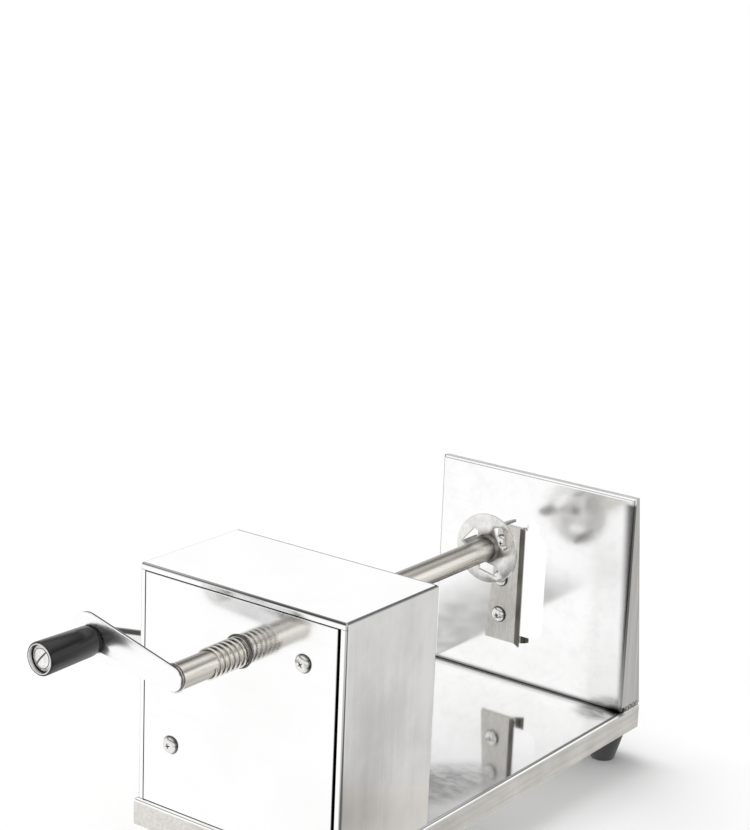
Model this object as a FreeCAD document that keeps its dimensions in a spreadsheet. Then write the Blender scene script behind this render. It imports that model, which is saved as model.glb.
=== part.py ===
import FreeCAD, Part
import math
import os
import Sketcher

# A hand-cranked tornado potato cutter. A stainless tray on four rubber feet carries a folded housing at
# the crank end and an upright end plate with the knife at the other. A hollow shaft with a wire thread
# screws through the housing and pushes a pronged disc, which holds the potato, against the knife.
# Frame: +X right, +Y from the crank towards the knife, +Z up. The origin lies on the table, under the
# middle of the tray. Lengths are millimetres and angles degrees.

doc = FreeCAD.newDocument("tornado_potato_cutter")
sizes = doc.addObject("Spreadsheet::Sheet", "sizes")

SIZES = {
    # tray: a shallow sheet pan, open below
    "tray_width": 140,
    "tray_length": 303,
    "tray_top": 34,
    "tray_skirt": 15,
    "tray_sheet": 1.2,
    "tray_bend": 2,
    # rubber feet and the screws up through them
    "foot_inset_x": 14.5,
    "foot_inset_y": 17,
    "foot_top_radius": 12.5,
    "foot_base_radius": 7.5,
    "foot_taper": 18,
    "foot_socket_radius": 5.2,
    "foot_socket_depth": 13,
    # end plate: an upright pan that faces the housing
    "plate_inset": 1.1,
    "plate_height": 134.7,
    "plate_sheet": 1.5,
    "plate_bend": 2,
    "plate_foot_depth": 22.8,
    "plate_head_depth": 5.3,
    # slot in the end plate that the spiral comes out of, and the stick's hole above it
    "slot_left": 6,
    "slot_right": 10.4,
    "slot_low": 30.5,
    "slot_high": 99.2,
    "slot_upper_corner": 10,
    "slot_lower_corner": 7,
    "stick_hole_radius": 4.4,
    # knife: a plate on the end plate, with its sharpened edge bent forwards
    "knife_sheet": 1.5,
    "knife_low": 25,
    "knife_high": 100,
    "knife_left_low": 30,
    "knife_left_high": 24,
    "knife_bend": 8.5,
    "knife_edge": 2.2,
    "knife_rise": 4.4,
    "knife_bevel": 2.6,
    "knife_screw_x": 20.5,
    "knife_screw_low": 41.5,
    "knife_screw_pitch": 23.5,
    # housing cover: sides and top in one sheet, with lips round its front
    "cover_inset": 1.8,
    "cover_front": 2.2,
    "cover_depth": 77.3,
    "cover_height": 133.3,
    "cover_sheet": 1.2,
    "cover_bend": 1.5,
    "cover_lip": 3.6,
    "cover_foot": 18,
    "cover_bolt_back": 45,
    # front panel inside the lips, and its two screws
    "panel_gap_left": 0.2,
    "panel_gap_right": 1.9,
    "panel_gap_top": 0.5,
    "panel_gap_low": 0.3,
    "panel_sheet": 1.2,
    "panel_rim": 5.5,
    "panel_bend": 0.6,
    "panel_screw_right": 42,
    "panel_screw_left": 45,
    "panel_screw_high": 106,
    "panel_screw_low": 37,
    # rear panel and its foot
    "rear_sheet": 1.2,
    "rear_gap": 0.3,
    "rear_foot": 16,
    # mechanism bracket: a channel behind the front panel
    "bracket_width": 98,
    "bracket_sheet": 2,
    "bracket_depth": 22.6,
    "bracket_over": 18,
    "bolt_spread": 36,
    # shaft: a hollow tube on the working axis
    "shaft_height": 101.4,
    "shaft_radius": 7,
    "shaft_bore": 5.8,
    "arm_reach": 48.6,
    "disc_gap": 51.5,
    # feed thread: a wire wound round the tube
    "wire_radius": 0.6,
    "thread_pitch": 3.7,
    "thread_reach": 23.08,
    "thread_turns": 42.5,
    "wire_seat": 0.01,
    # stick socket in the end of the tube
    "stick_radius": 2.75,
    "socket_length": 34,
    # pronged disc
    "disc_radius": 21,
    "disc_sheet": 1.5,
    "prong_width": 5.8,
    "prong_length": 15.6,
    "prong_point_inner": 3.6,
    "prong_point_outer": 1.2,
    "prong_offset": 11.4,
    "prong_start": 12.6,
    "prong_turn": -169,
    # rings of weld round the tube, where the arm and the disc stand on it
    "arm_weld_leg": 0.7,
    "disc_weld_leg": 1.6,
    "weld_lip": 0.2,
    # crank arm: a strip that widens towards the grip
    "arm_sheet": 2,
    "arm_shaft_end": 6.4,
    "arm_grip_end": 11.6,
    "arm_left": 56.8,
    "arm_rise": 8.8,
    "grip_left": 55.2,
    "grip_rise": 5.9,
    # grip and its bolt
    "grip_length": 33.8,
    "grip_outer_radius": 8.9,
    "grip_inner_radius": 8.1,
    "grip_recess": 7.4,
    "grip_recess_depth": 2.6,
    "grip_liner": 0.6,
    "grip_liner_depth": 2.4,
    "grip_play": 0.2,
    "bolt_radius": 3,
    "bolt_slot": 1.1,
    "bolt_slot_depth": 1.2,
    "bolt_head": 6.9,
    "bolt_head_height": 2.2,
    "washer_radius": 7,
    "washer_sheet": 1,
    # bushes and the loose guide sleeve that turns with the shaft
    "running": 0.08,
    "sleeve_running": 0.05,
    "close": 0.02,
    "bush_wall": 0.7,
    "front_bush_proud": 1.0,
    "front_bush_length": 6.9,
    "bush_flange": 3.5,
    "bush_flange_sheet": 2,
    "sleeve_wall": 2.2,
    "rear_bush_length": 13,
    "rear_bush_wall": 2.5,
    "sleeve_collar": 1.8,
    "sleeve_end_play": 0.2,
    "ring_sheet": 1,
    "ring_groove": 0.8,
    "ring_gap": 3,
    # release lever with the tooth that drives the feed
    "tooth_back": 10.8,
    "tooth_sheet": 1.4,
    "tooth_width": 7,
    "tooth_gap": 0.15,
    "tooth_depth": 7.5,
    "lever_waist": 6,
    "lever_tail": 15,
    "lever_tail_half": 3,
    "pivot_left": 32,
    "pivot_drop": 8.5,
    "pin_radius": 2,
    "clip_radius": 4,
    "clip_sheet": 0.8,
    "hub_radius": 4,
    "hub_play": 0.2,
    "rod_radius": 4,
    "rod_start": 7,
    "rod_length": 64,
    "rod_slope": 9,
    "lever_swing": 6,
    "lever_slot_gap": 0.5,
    "spring_radius": 3.6,
    "spring_seat_radius": 4.6,
    "spring_wire": 0.45,
    "spring_turns": 9,
    "spring_left": 50,
    "spring_seat_sheet": 1,
    "spring_cup_sheet": 1.2,
    "spring_peg_radius": 1.6,
    "spring_peg_length": 7,
    # fasteners
    "screw_radius": 2.5,
    "screw_head": 4.75,
    "screw_head_height": 2.9,
    "screw_recess": 2.5,
    "screw_recess_width": 1.1,
    "screw_recess_depth": 1.4,
    "screw_play": 0.1,
    "nut_radius": 4.6,
    "nut_height": 4,
    "grip_nut_radius": 5.5,
    "screw_end": 1,
    # weld beads between the end plate's rims and the tray
    "weld_size": 1,
    "weld_reach": 0.8,
    "weld_length": 5,
    "weld_step": 7.2,
}
for row, (alias, amount) in enumerate(SIZES.items(), start=1):
    sizes.set(f"A{row}", alias.replace("_", " "))
    sizes.set(f"B{row}", str(amount))
    sizes.setAlias(f"B{row}", alias)
doc.recompute()

# Places that several pieces share, as expressions on the sheet.
FRONT = "-sizes.tray_length / 2"
FLOOR = "sizes.tray_top"
AXIS = "(sizes.tray_top + sizes.shaft_height)"
COVER_HALF = "(sizes.tray_width / 2 - sizes.cover_inset)"
COVER_Y = f"({FRONT} + sizes.cover_front)"
COVER_BACK = f"({COVER_Y} + sizes.cover_depth)"
PANEL_BACK = f"({COVER_Y} + sizes.panel_sheet)"
PLATE_Y = f"({FRONT} + sizes.tray_length - sizes.plate_foot_depth)"
DISC_Y = f"({PLATE_Y} - sizes.disc_gap)"
ARM_Y = f"({FRONT} - sizes.arm_reach)"
ARM_BACK = f"({ARM_Y} + sizes.arm_sheet)"
WIRE_CREST = "(sizes.shaft_radius + sizes.wire_seat + 2 * sizes.wire_radius)"
CREST_BORE = f"({WIRE_CREST} + sizes.running)"
TOOTH_Y = f"({COVER_Y} + sizes.tooth_back)"
PIVOT_Z = f"({AXIS} - sizes.pivot_drop)"
FOOT_X = "(sizes.tray_width / 2 - sizes.foot_inset_x)"
SCREW_HOLE = "(sizes.screw_radius + sizes.screw_play)"

pieces = []
cuts = []


def number(expression):
    """The value that an expression on the sheet has now."""
    return float(sizes.evalExpression(expression))


def piece(feature, label):
    """Name a finished sub-part."""
    feature.Label = label
    pieces.append(feature)
    return feature


def new_body(label):
    """An empty body that will become the sub-part of that name."""
    return piece(doc.addObject("PartDesign::Body", label), label)


def new_sketch(body, role, offset="0"):
    """A sketch on one of the body's own origin planes, moved along that plane's world axis."""
    plane = next(item for item in body.Origin.OriginFeatures if item.Role == role)
    sketch = body.newObject("Sketcher::SketchObject", f"{body.Name}_sketch")
    sketch.AttachmentSupport = [(plane, "")]
    sketch.MapMode = "FlatFace"
    sign = "-1" if role == "XZ_Plane" else "1"
    sketch.setExpression("AttachmentOffset.Base.z", f"{sign} * ({offset})")
    return sketch


def pin(sketch, geometry, point, x, y):
    """Hold a sketch point at two distances from the sketch's origin."""
    for kind, distance in (("DistanceX", x), ("DistanceY", y)):
        index = sketch.addConstraint(
            Sketcher.Constraint(kind, -1, 1, geometry, point, number(distance))
        )
        sketch.setExpression(f"Constraints[{index}]", distance)


def outline(sketch, corners):
    """A closed straight-sided outline through corners, each a pair of expressions."""
    points = [FreeCAD.Vector(number(x), number(y), 0) for x, y in corners]
    first = sketch.GeometryCount
    for start, end in zip(points, points[1:] + points[:1]):
        sketch.addGeometry(Part.LineSegment(start, end))
    for i, (x, y) in enumerate(corners):
        follower = first + (i + 1) % len(points)
        sketch.addConstraint(Sketcher.Constraint("Coincident", first + i, 2, follower, 1))
        pin(sketch, first + i, 1, x, y)


def rectangle(sketch, low_x, high_x, low_y, high_y):
    outline(sketch, [(low_x, low_y), (high_x, low_y), (high_x, high_y), (low_x, high_y)])


def circle(sketch, x, y, radius):
    centre = FreeCAD.Vector(number(x), number(y), 0)
    up = FreeCAD.Vector(0, 0, 1)
    geometry = sketch.addGeometry(Part.Circle(centre, up, number(radius)))
    pin(sketch, geometry, 3, x, y)
    index = sketch.addConstraint(Sketcher.Constraint("Radius", geometry, number(radius)))
    sketch.setExpression(f"Constraints[{index}]", radius)


def faces_back(sketch):
    """Whether the sketch's plane looks along -Y, so that +Y is behind it."""
    return sketch.AttachmentSupport[0][0].Role == "XZ_Plane"


def pad(body, sketch, length):
    """Material from the sketch towards the plane's positive world axis."""
    feature = body.newObject("PartDesign::Pad", f"{body.Name}_pad")
    feature.Profile = sketch
    feature.Reversed = faces_back(sketch)
    feature.setExpression("Length", length)
    doc.recompute()
    return feature


def pocket(body, sketch, length):
    """A cut from the sketch towards the plane's positive world axis."""
    feature = body.newObject("PartDesign::Pocket", f"{body.Name}_pocket")
    feature.Profile = sketch
    feature.Reversed = not faces_back(sketch)
    feature.setExpression("Length", length)
    doc.recompute()
    cuts.append(feature)
    return feature


def edge_names(shape, wanted):
    """The names of the shape's edges that a test accepts."""
    return [f"Edge{i}" for i, edge in enumerate(shape.Edges, start=1) if wanted(edge)]


def fillet(body, radius, wanted):
    """Round the edges of the body so far that a test accepts."""
    base = body.Tip
    feature = body.newObject("PartDesign::Fillet", f"{body.Name}_fillet")
    feature.Base = (base, edge_names(base.Shape, wanted))
    feature.setExpression("Radius", radius)
    doc.recompute()
    return feature


def runs_along(edge, axis):
    """Whether an edge is straight and parallel to x, y or z."""
    if edge.Curve.TypeId != "Part::GeomLine":
        return False
    direction = edge.tangentAt(edge.FirstParameter)
    return abs(abs(getattr(direction, axis)) - 1) < 1e-6


def lies_at(edge, axis, place):
    """Whether an edge's middle is at a place, given as an expression, on one axis."""
    return abs(getattr(edge.CenterOfMass, axis) - number(place)) < 0.01


TURNS = {
    "x": FreeCAD.Rotation(FreeCAD.Vector(0, 1, 0), 90),
    "y": FreeCAD.Rotation(FreeCAD.Vector(1, 0, 0), -90),
    "-y": FreeCAD.Rotation(FreeCAD.Vector(1, 0, 0), 90),
    "z": FreeCAD.Rotation(),
    "-z": FreeCAD.Rotation(FreeCAD.Vector(1, 0, 0), 180),
}


def place(feature, x, y, z, along="z"):
    """Set a feature's place by expressions, with its own Z axis turned along a world axis."""
    feature.Placement = FreeCAD.Placement(FreeCAD.Vector(), TURNS[along])
    for axis, distance in zip("xyz", (x, y, z)):
        feature.setExpression(f"Placement.Base.{axis}", distance)
    return feature


def cylinder(name, radius, length, x="0", y="0", z="0", along="z"):
    feature = doc.addObject("Part::Cylinder", name)
    feature.setExpression("Radius", radius)
    feature.setExpression("Height", length)
    return place(feature, x, y, z, along)


def cone(name, radius, end_radius, length, x="0", y="0", z="0", along="z"):
    feature = doc.addObject("Part::Cone", name)
    feature.setExpression("Radius1", radius)
    feature.setExpression("Radius2", end_radius)
    feature.setExpression("Height", length)
    return place(feature, x, y, z, along)


def block(name, length_x, length_y, length_z, x="0", y="0", z="0"):
    """A box whose place is its lowest corner."""
    feature = doc.addObject("Part::Box", name)
    feature.setExpression("Length", length_x)
    feature.setExpression("Width", length_y)
    feature.setExpression("Height", length_z)
    return place(feature, x, y, z)


def cut(name, base, *tools):
    """The base less each tool in turn."""
    for i, tool in enumerate(tools):
        feature = doc.addObject("Part::Cut", f"{name}_{i}" if i + 1 < len(tools) else name)
        feature.Base = base
        feature.Tool = tool
        base = feature
    return base


def fuse(name, *solids):
    feature = doc.addObject("Part::MultiFuse", name)
    feature.Shapes = list(solids)
    feature.Refine = True
    return feature


def group(label, solids):
    """One sub-part made of separate identical solids."""
    feature = doc.addObject("Part::Compound", label)
    feature.Links = list(solids)
    return piece(feature, label)


def tube(name, radius, bore, length, x="0", y="0", z="0", along="y"):
    """A plain ring or tube."""
    inner = cylinder(f"{name}_bore", bore, length, x, y, z, along)
    return cut(name, cylinder(f"{name}_outside", radius, length, x, y, z, along), inner)


def screw(name, grip, x, y, z, along, head="sizes.screw_head", height="sizes.screw_head_height",
          radius="sizes.screw_radius", recess=True):
    """A domed screw. Its head's underside is at x, y, z and its shank points along the axis given."""
    ball = f"(({head} ^ 2 + {height} ^ 2) / (2 * {height}))"
    dome = doc.addObject("Part::Sphere", f"{name}_dome")
    dome.setExpression("Radius", ball)
    dome.setExpression("Angle1", f"asin(1 - {height} / {ball})")
    dome.Placement = FreeCAD.Placement(FreeCAD.Vector(), TURNS["-z"])
    dome.setExpression("Placement.Base.z", f"{ball} - {height}")
    shank = cylinder(f"{name}_shank", radius, grip)
    solid = fuse(f"{name}_solid", dome, shank)
    # A slot runs right across the head, and a cross stops short of its rim.
    if recess:
        long_side = "(2 * sizes.screw_recess)"
        width, deep = "sizes.screw_recess_width", "sizes.screw_recess_depth"
    else:
        long_side = f"(3 * {head})"
        width, deep = "sizes.bolt_slot", "sizes.bolt_slot_depth"
    tools = []
    for i, (size_x, size_y) in enumerate(((long_side, width), (width, long_side))):
        if i == 0 or recess:
            tools.append(
                block(f"{name}_recess{i}", size_x, size_y, f"(2 * {deep})", f"-{size_x} / 2",
                      f"-{size_y} / 2", f"-{height} - {deep}")
            )
    return place(cut(name, solid, *tools), x, y, z, along)


def nut(name, x, y, z, along, bore="sizes.screw_radius + sizes.close",
        radius="sizes.nut_radius", height="sizes.nut_height"):
    """A hexagon nut that stands from x, y, z along the axis given."""
    prism = doc.addObject("Part::Prism", f"{name}_prism")
    prism.Polygon = 6
    prism.setExpression("Circumradius", radius)
    prism.setExpression("Height", height)
    return place(cut(name, prism, cylinder(f"{name}_hole", bore, height)), x, y, z, along)


def coil(name, wire, radius, pitch, height):
    """A round wire wound to the right about its own Z axis."""
    line = doc.addObject("Part::Helix", f"{name}_line")
    line.SegmentLength = 1
    line.setExpression("Pitch", pitch)
    line.setExpression("Height", height)
    line.setExpression("Radius", radius)
    section = doc.addObject("Part::Circle", f"{name}_section")
    section.setExpression("Radius", wire)
    section.Placement = FreeCAD.Placement(FreeCAD.Vector(), TURNS["-y"])
    section.setExpression("Placement.Base.x", radius)
    doc.recompute()
    feature = doc.addObject("Part::Sweep", name)
    feature.Sections = [section]
    feature.Spine = (line, [f"Edge{i}" for i in range(1, len(line.Shape.Edges) + 1)])
    feature.Solid = True
    feature.Frenet = True
    return feature


def sides():
    """The left and the right side, as a name and a sign."""
    return (("left", "-1"), ("right", "1"))


def foot_places():
    """Name, x and y of each foot."""
    front = f"({FRONT} + sizes.foot_inset_y)"
    back = "(sizes.tray_length / 2 - sizes.foot_inset_y)"
    return [
        (f"{row}_{side}", f"({sign} * {FOOT_X})", y)
        for side, sign in sides()
        for row, y in (("front", front), ("back", back))
    ]


BRACKET_BOLT_Y = f"({PANEL_BACK} + sizes.bracket_depth / 2)"
REAR_BOLT_Y = f"({COVER_BACK} - sizes.rear_foot / 2)"
COVER_BOLT_Y = f"({FRONT} + sizes.foot_inset_y + sizes.cover_bolt_back)"


def tray_bolt_places():
    """Name, x, y and thickness above the tray of each bolt up through it."""
    places = []
    for side, sign in sides():
        inner = f"({sign} * sizes.bolt_spread)"
        outer = f"({sign} * {FOOT_X})"
        places.append((f"bracket_{side}", inner, BRACKET_BOLT_Y, "sizes.bracket_sheet"))
        places.append((f"rear_{side}", inner, REAR_BOLT_Y, "sizes.rear_sheet"))
        places.append((f"cover_{side}", outer, COVER_BOLT_Y, "sizes.cover_sheet"))
    return places


def panel_screw_places():
    """The front panel's screws: upper right and lower left."""
    return [
        ("upper", "sizes.panel_screw_right", f"({FLOOR} + sizes.panel_screw_high)"),
        ("lower", "(-1 * sizes.panel_screw_left)", f"({FLOOR} + sizes.panel_screw_low)"),
    ]


def knife_screw_heights():
    return [
        f"({FLOOR} + sizes.knife_screw_low + {i} * sizes.knife_screw_pitch)" for i in range(3)
    ]


def base_tray():
    """Sheet pan: a flat top and four short skirts, open below."""
    body = new_body("base_tray")
    half, end = "sizes.tray_width / 2", "sizes.tray_length / 2"
    low = f"{FLOOR} - sizes.tray_skirt"
    outer = new_sketch(body, "XY_Plane", low)
    rectangle(outer, f"-{half}", half, f"-{end}", end)
    pad(body, outer, "sizes.tray_skirt")
    fillet(body, "sizes.tray_bend", lambda e: runs_along(e, "z") or lies_at(e, "z", FLOOR))
    inner = new_sketch(body, "XY_Plane", low)
    wall = "sizes.tray_sheet"
    rectangle(inner, f"-{half} + {wall}", f"{half} - {wall}", f"-{end} + {wall}", f"{end} - {wall}")
    pocket(body, inner, "sizes.tray_skirt - sizes.tray_sheet")
    holes = new_sketch(body, "XY_Plane", f"{FLOOR} - 2 * sizes.tray_sheet")
    for _, x, y in foot_places():
        circle(holes, x, y, SCREW_HOLE)
    for _, x, y, _ in tray_bolt_places():
        circle(holes, x, y, SCREW_HOLE)
    pocket(body, holes, "3 * sizes.tray_sheet")


def end_plate():
    """Upright pan with its rims turned back; the side rims widen towards the tray."""
    body = new_body("end_plate")
    half = "(sizes.tray_width / 2 - sizes.plate_inset)"
    wall, high = "sizes.plate_sheet", f"{FLOOR} + sizes.plate_height"
    foot_y = f"{PLATE_Y} + sizes.plate_foot_depth"
    side = new_sketch(body, "YZ_Plane", f"-{half}")
    outline(side, [(PLATE_Y, FLOOR), (foot_y, FLOOR),
                   (f"{PLATE_Y} + sizes.plate_head_depth", high), (PLATE_Y, high)])
    pad(body, side, f"2 * {half}")
    fillet(body, "sizes.plate_bend", lambda e: lies_at(e, "y", PLATE_Y))
    hollow = new_sketch(body, "XZ_Plane", f"{PLATE_Y} + {wall}")
    rectangle(hollow, f"-{half} + {wall}", f"{half} - {wall}", f"{FLOOR} + {wall}", f"{high} - {wall}")
    pocket(body, hollow, "sizes.plate_foot_depth")
    slot = new_sketch(body, "XZ_Plane", f"{PLATE_Y} - {wall}")
    rectangle(slot, "-sizes.slot_left", "sizes.slot_right", f"{FLOOR} + sizes.slot_low",
              f"{FLOOR} + sizes.slot_high")
    pocket(body, slot, f"3 * {wall}")

    def slot_edge(edge, height):
        across = runs_along(edge, "y") and lies_at(edge, "x", "sizes.slot_right")
        return across and lies_at(edge, "z", f"{FLOOR} + sizes.slot_{height}")

    fillet(body, "sizes.slot_upper_corner", lambda e: slot_edge(e, "high"))
    fillet(body, "sizes.slot_lower_corner", lambda e: slot_edge(e, "low"))
    stick = new_sketch(body, "XZ_Plane", f"{PLATE_Y} - {wall}")
    circle(stick, "0", AXIS, "sizes.stick_hole_radius")
    pocket(body, stick, f"3 * {wall}")
    screws = new_sketch(body, "XZ_Plane", f"{PLATE_Y} - {wall}")
    for z in knife_screw_heights():
        circle(screws, "-sizes.knife_screw_x", z, SCREW_HOLE)
    pocket(body, screws, f"3 * {wall}")
    feet = new_sketch(body, "XY_Plane", f"{FLOOR} - {wall}")
    for name, x, y in foot_places():
        if name.startswith("back"):
            circle(feet, x, y, SCREW_HOLE)
    pocket(body, feet, f"3 * {wall}")


def weld_beads():
    """Short fillet welds where the end plate's rims stand on the tray's rounded edges."""
    half = "(sizes.tray_width / 2 - sizes.plate_inset)"
    inside = "(sizes.tray_bend - sizes.plate_inset)"
    root = f"sqrt(sizes.tray_bend ^ 2 - {inside} ^ 2)"
    sag = f"(sizes.tray_bend - {root} - sizes.close)"
    beads = []
    for side, sign in sides():
        for i in range(3):
            body = doc.addObject("PartDesign::Body", f"weld_{side}_{i}")
            start = f"{PLATE_Y} + sizes.plate_bend + {i} * sizes.weld_step"
            section = new_sketch(body, "XZ_Plane", start)
            outline(section, [
                (f"{sign} * {half}", f"{FLOOR} + sizes.weld_size"),
                (f"{sign} * {half}", f"{FLOOR} - {sag}"),
                (f"{sign} * ({half} + sizes.weld_reach)",
                 f"{FLOOR} - {sag} - sizes.weld_reach * {inside} / {root}"),
            ])
            pad(body, section, "sizes.weld_length")
            beads.append(body)
    group("weld_beads", beads)


def housing_cover():
    """One sheet over the mechanism: two sides, the top, feet turned in and lips round the front."""
    body = new_body("housing_cover")
    half, wall = COVER_HALF, "sizes.cover_sheet"
    high = f"{FLOOR} + sizes.cover_height"
    outer = new_sketch(body, "XZ_Plane", COVER_Y)
    rectangle(outer, f"-{half}", half, FLOOR, high)
    pad(body, outer, "sizes.cover_depth")

    def bent(edge):
        along = runs_along(edge, "y") and lies_at(edge, "z", high)
        front = lies_at(edge, "y", COVER_Y) and not lies_at(edge, "z", FLOOR)
        return along or front

    fillet(body, "sizes.cover_bend", bent)
    inner = new_sketch(body, "XZ_Plane", f"{COVER_Y} + {wall}")
    rectangle(inner, f"-{half} + {wall}", f"{half} - {wall}", f"{FLOOR} + {wall}", f"{high} - {wall}")
    pocket(body, inner, "sizes.cover_depth")
    window = new_sketch(body, "XZ_Plane", f"{COVER_Y} - {wall}")
    lip = "sizes.cover_lip"
    rectangle(window, f"-{half} + {lip}", f"{half} - {lip}", f"{FLOOR} - {lip}", f"{high} - {lip}")
    pocket(body, window, f"2.5 * {wall}")
    below = new_sketch(body, "XY_Plane", f"{FLOOR} - {wall}")
    inside = f"({half} - sizes.cover_foot)"
    rectangle(below, f"-{inside}", inside, f"{COVER_Y} - {wall}", f"{COVER_BACK} + {wall}")
    pocket(body, below, f"2.5 * {wall}")
    slot = new_sketch(body, "YZ_Plane", f"-{half} - {wall}")
    reach = "(sizes.rod_radius + sizes.lever_slot_gap)"
    rest = f"({PIVOT_Z} - ({half} - sizes.pivot_left) * tan(sizes.rod_slope))"
    rise = f"({half} - sizes.pivot_left) * tan(sizes.lever_swing)"
    rectangle(slot, f"{TOOTH_Y} - {reach}", f"{TOOTH_Y} + {reach}", f"{rest} - {reach}",
              f"{rest} + {rise} + {reach} + sizes.lever_slot_gap")
    pocket(body, slot, f"3 * {wall}")
    bolts = new_sketch(body, "XY_Plane", f"{FLOOR} - {wall}")
    for name, x, y in foot_places():
        if name.startswith("front"):
            circle(bolts, x, y, SCREW_HOLE)
    for name, x, y, _ in tray_bolt_places():
        if name.startswith("cover"):
            circle(bolts, x, y, SCREW_HOLE)
    pocket(body, bolts, f"3 * {wall}")


def front_panel():
    """The flat front inside the cover's lips, with shallow rims turned back above the cover's feet."""
    body = new_body("front_panel")
    window, wall = f"({COVER_HALF} - sizes.cover_lip)", "sizes.panel_sheet"
    left, right = f"(sizes.panel_gap_left - {window})", f"({window} - sizes.panel_gap_right)"
    low = f"{FLOOR} + sizes.panel_gap_low"
    high = f"{FLOOR} + sizes.cover_height - sizes.cover_lip - sizes.panel_gap_top"
    outer = new_sketch(body, "XZ_Plane", COVER_Y)
    rectangle(outer, left, right, low, high)
    pad(body, outer, "sizes.panel_rim")
    fillet(body, "sizes.panel_bend", lambda e: lies_at(e, "y", COVER_Y) and not lies_at(e, "z", low))
    inner = new_sketch(body, "XZ_Plane", PANEL_BACK)
    rectangle(inner, f"{left} + {wall}", f"{right} - {wall}", f"{low} - {wall}", f"{high} - {wall}")
    pocket(body, inner, "sizes.panel_rim")
    feet = new_sketch(body, "XZ_Plane", PANEL_BACK)
    rectangle(feet, left, right, f"{low} - {wall}", f"{low} + sizes.cover_sheet")
    pocket(body, feet, "sizes.panel_rim")
    holes = new_sketch(body, "XZ_Plane", f"{COVER_Y} - {wall}")
    circle(holes, "0", AXIS, f"{CREST_BORE} + sizes.bush_wall + 2 * sizes.screw_play")
    for _, x, z in panel_screw_places():
        circle(holes, x, z, SCREW_HOLE)
    pocket(body, holes, f"3 * {wall}")


def mechanism_bracket():
    """Channel on the tray: its front wall backs the panel, and both walls carry the lever's pin."""
    body = new_body("mechanism_bracket")
    wall, back = "sizes.bracket_sheet", f"{PANEL_BACK} + sizes.bracket_depth"
    top = f"{AXIS} + sizes.bracket_over"
    profile = new_sketch(body, "YZ_Plane", "-sizes.bracket_width / 2")
    outline(profile, [
        (PANEL_BACK, FLOOR), (back, FLOOR), (back, top), (f"{back} - {wall}", top),
        (f"{back} - {wall}", f"{FLOOR} + {wall}"), (f"{PANEL_BACK} + {wall}", f"{FLOOR} + {wall}"),
        (f"{PANEL_BACK} + {wall}", top), (PANEL_BACK, top),
    ])
    pad(body, profile, "sizes.bracket_width")
    front = new_sketch(body, "XZ_Plane", f"{PANEL_BACK} - {wall}")
    circle(front, "0", AXIS, f"{CREST_BORE} + sizes.bush_wall")
    for _, x, z in panel_screw_places():
        circle(front, x, z, SCREW_HOLE)
    pocket(body, front, f"3 * {wall}")
    rear = new_sketch(body, "XZ_Plane", f"{back} - 2 * {wall}")
    circle(rear, "0", AXIS, f"{WIRE_CREST} + sizes.bush_flange")
    pocket(body, rear, f"3 * {wall}")
    pins = new_sketch(body, "XZ_Plane", f"{PANEL_BACK} - {wall}")
    circle(pins, "-sizes.pivot_left", PIVOT_Z, "sizes.pin_radius")
    pocket(body, pins, f"sizes.bracket_depth + 2 * {wall}")
    bolts = new_sketch(body, "XY_Plane", f"{FLOOR} - {wall}")
    for name, x, y, _ in tray_bolt_places():
        if name.startswith("bracket"):
            circle(bolts, x, y, SCREW_HOLE)
    pocket(body, bolts, f"3 * {wall}")


def rear_panel():
    """The housing's back: a wall inside the cover with a foot turned forwards on the tray."""
    body = new_body("rear_panel")
    half, wall = f"({COVER_HALF} - sizes.cover_sheet - sizes.rear_gap)", "sizes.rear_sheet"
    wall_y = f"({COVER_BACK} - {wall})"
    low = f"{FLOOR} + sizes.cover_sheet + sizes.rear_gap"
    high = f"{FLOOR} + sizes.cover_height - sizes.cover_sheet - sizes.rear_gap"
    upright = new_sketch(body, "XZ_Plane", wall_y)
    rectangle(upright, f"-{half}", half, low, high)
    pad(body, upright, wall)
    foot_half = f"({COVER_HALF} - sizes.cover_foot - sizes.rear_gap)"
    foot = new_sketch(body, "YZ_Plane", f"-{foot_half}")
    outline(foot, [
        (f"{COVER_BACK} - sizes.rear_foot", FLOOR), (COVER_BACK, FLOOR), (COVER_BACK, f"{low} + {wall}"),
        (wall_y, f"{low} + {wall}"), (wall_y, f"{FLOOR} + {wall}"),
        (f"{COVER_BACK} - sizes.rear_foot", f"{FLOOR} + {wall}"),
    ])
    pad(body, foot, f"2 * {foot_half}")
    hole = new_sketch(body, "XZ_Plane", f"{wall_y} - {wall}")
    circle(hole, "0", AXIS, REAR_BUSH_RADIUS)
    pocket(body, hole, f"3 * {wall}")
    bolts = new_sketch(body, "XY_Plane", f"{FLOOR} - {wall}")
    for name, x, y, _ in tray_bolt_places():
        if name.startswith("rear"):
            circle(bolts, x, y, SCREW_HOLE)
    pocket(body, bolts, f"3 * {wall}")


SLEEVE_RADIUS = f"({CREST_BORE} + sizes.sleeve_wall)"
REAR_BUSH_BORE = f"({SLEEVE_RADIUS} + sizes.sleeve_running)"
REAR_BUSH_RADIUS = f"({REAR_BUSH_BORE} + sizes.rear_bush_wall)"
BUSH_BACK = f"({COVER_BACK} + sizes.bush_flange_sheet)"
BUSH_FRONT = f"({BUSH_BACK} - sizes.rear_bush_length)"


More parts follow.
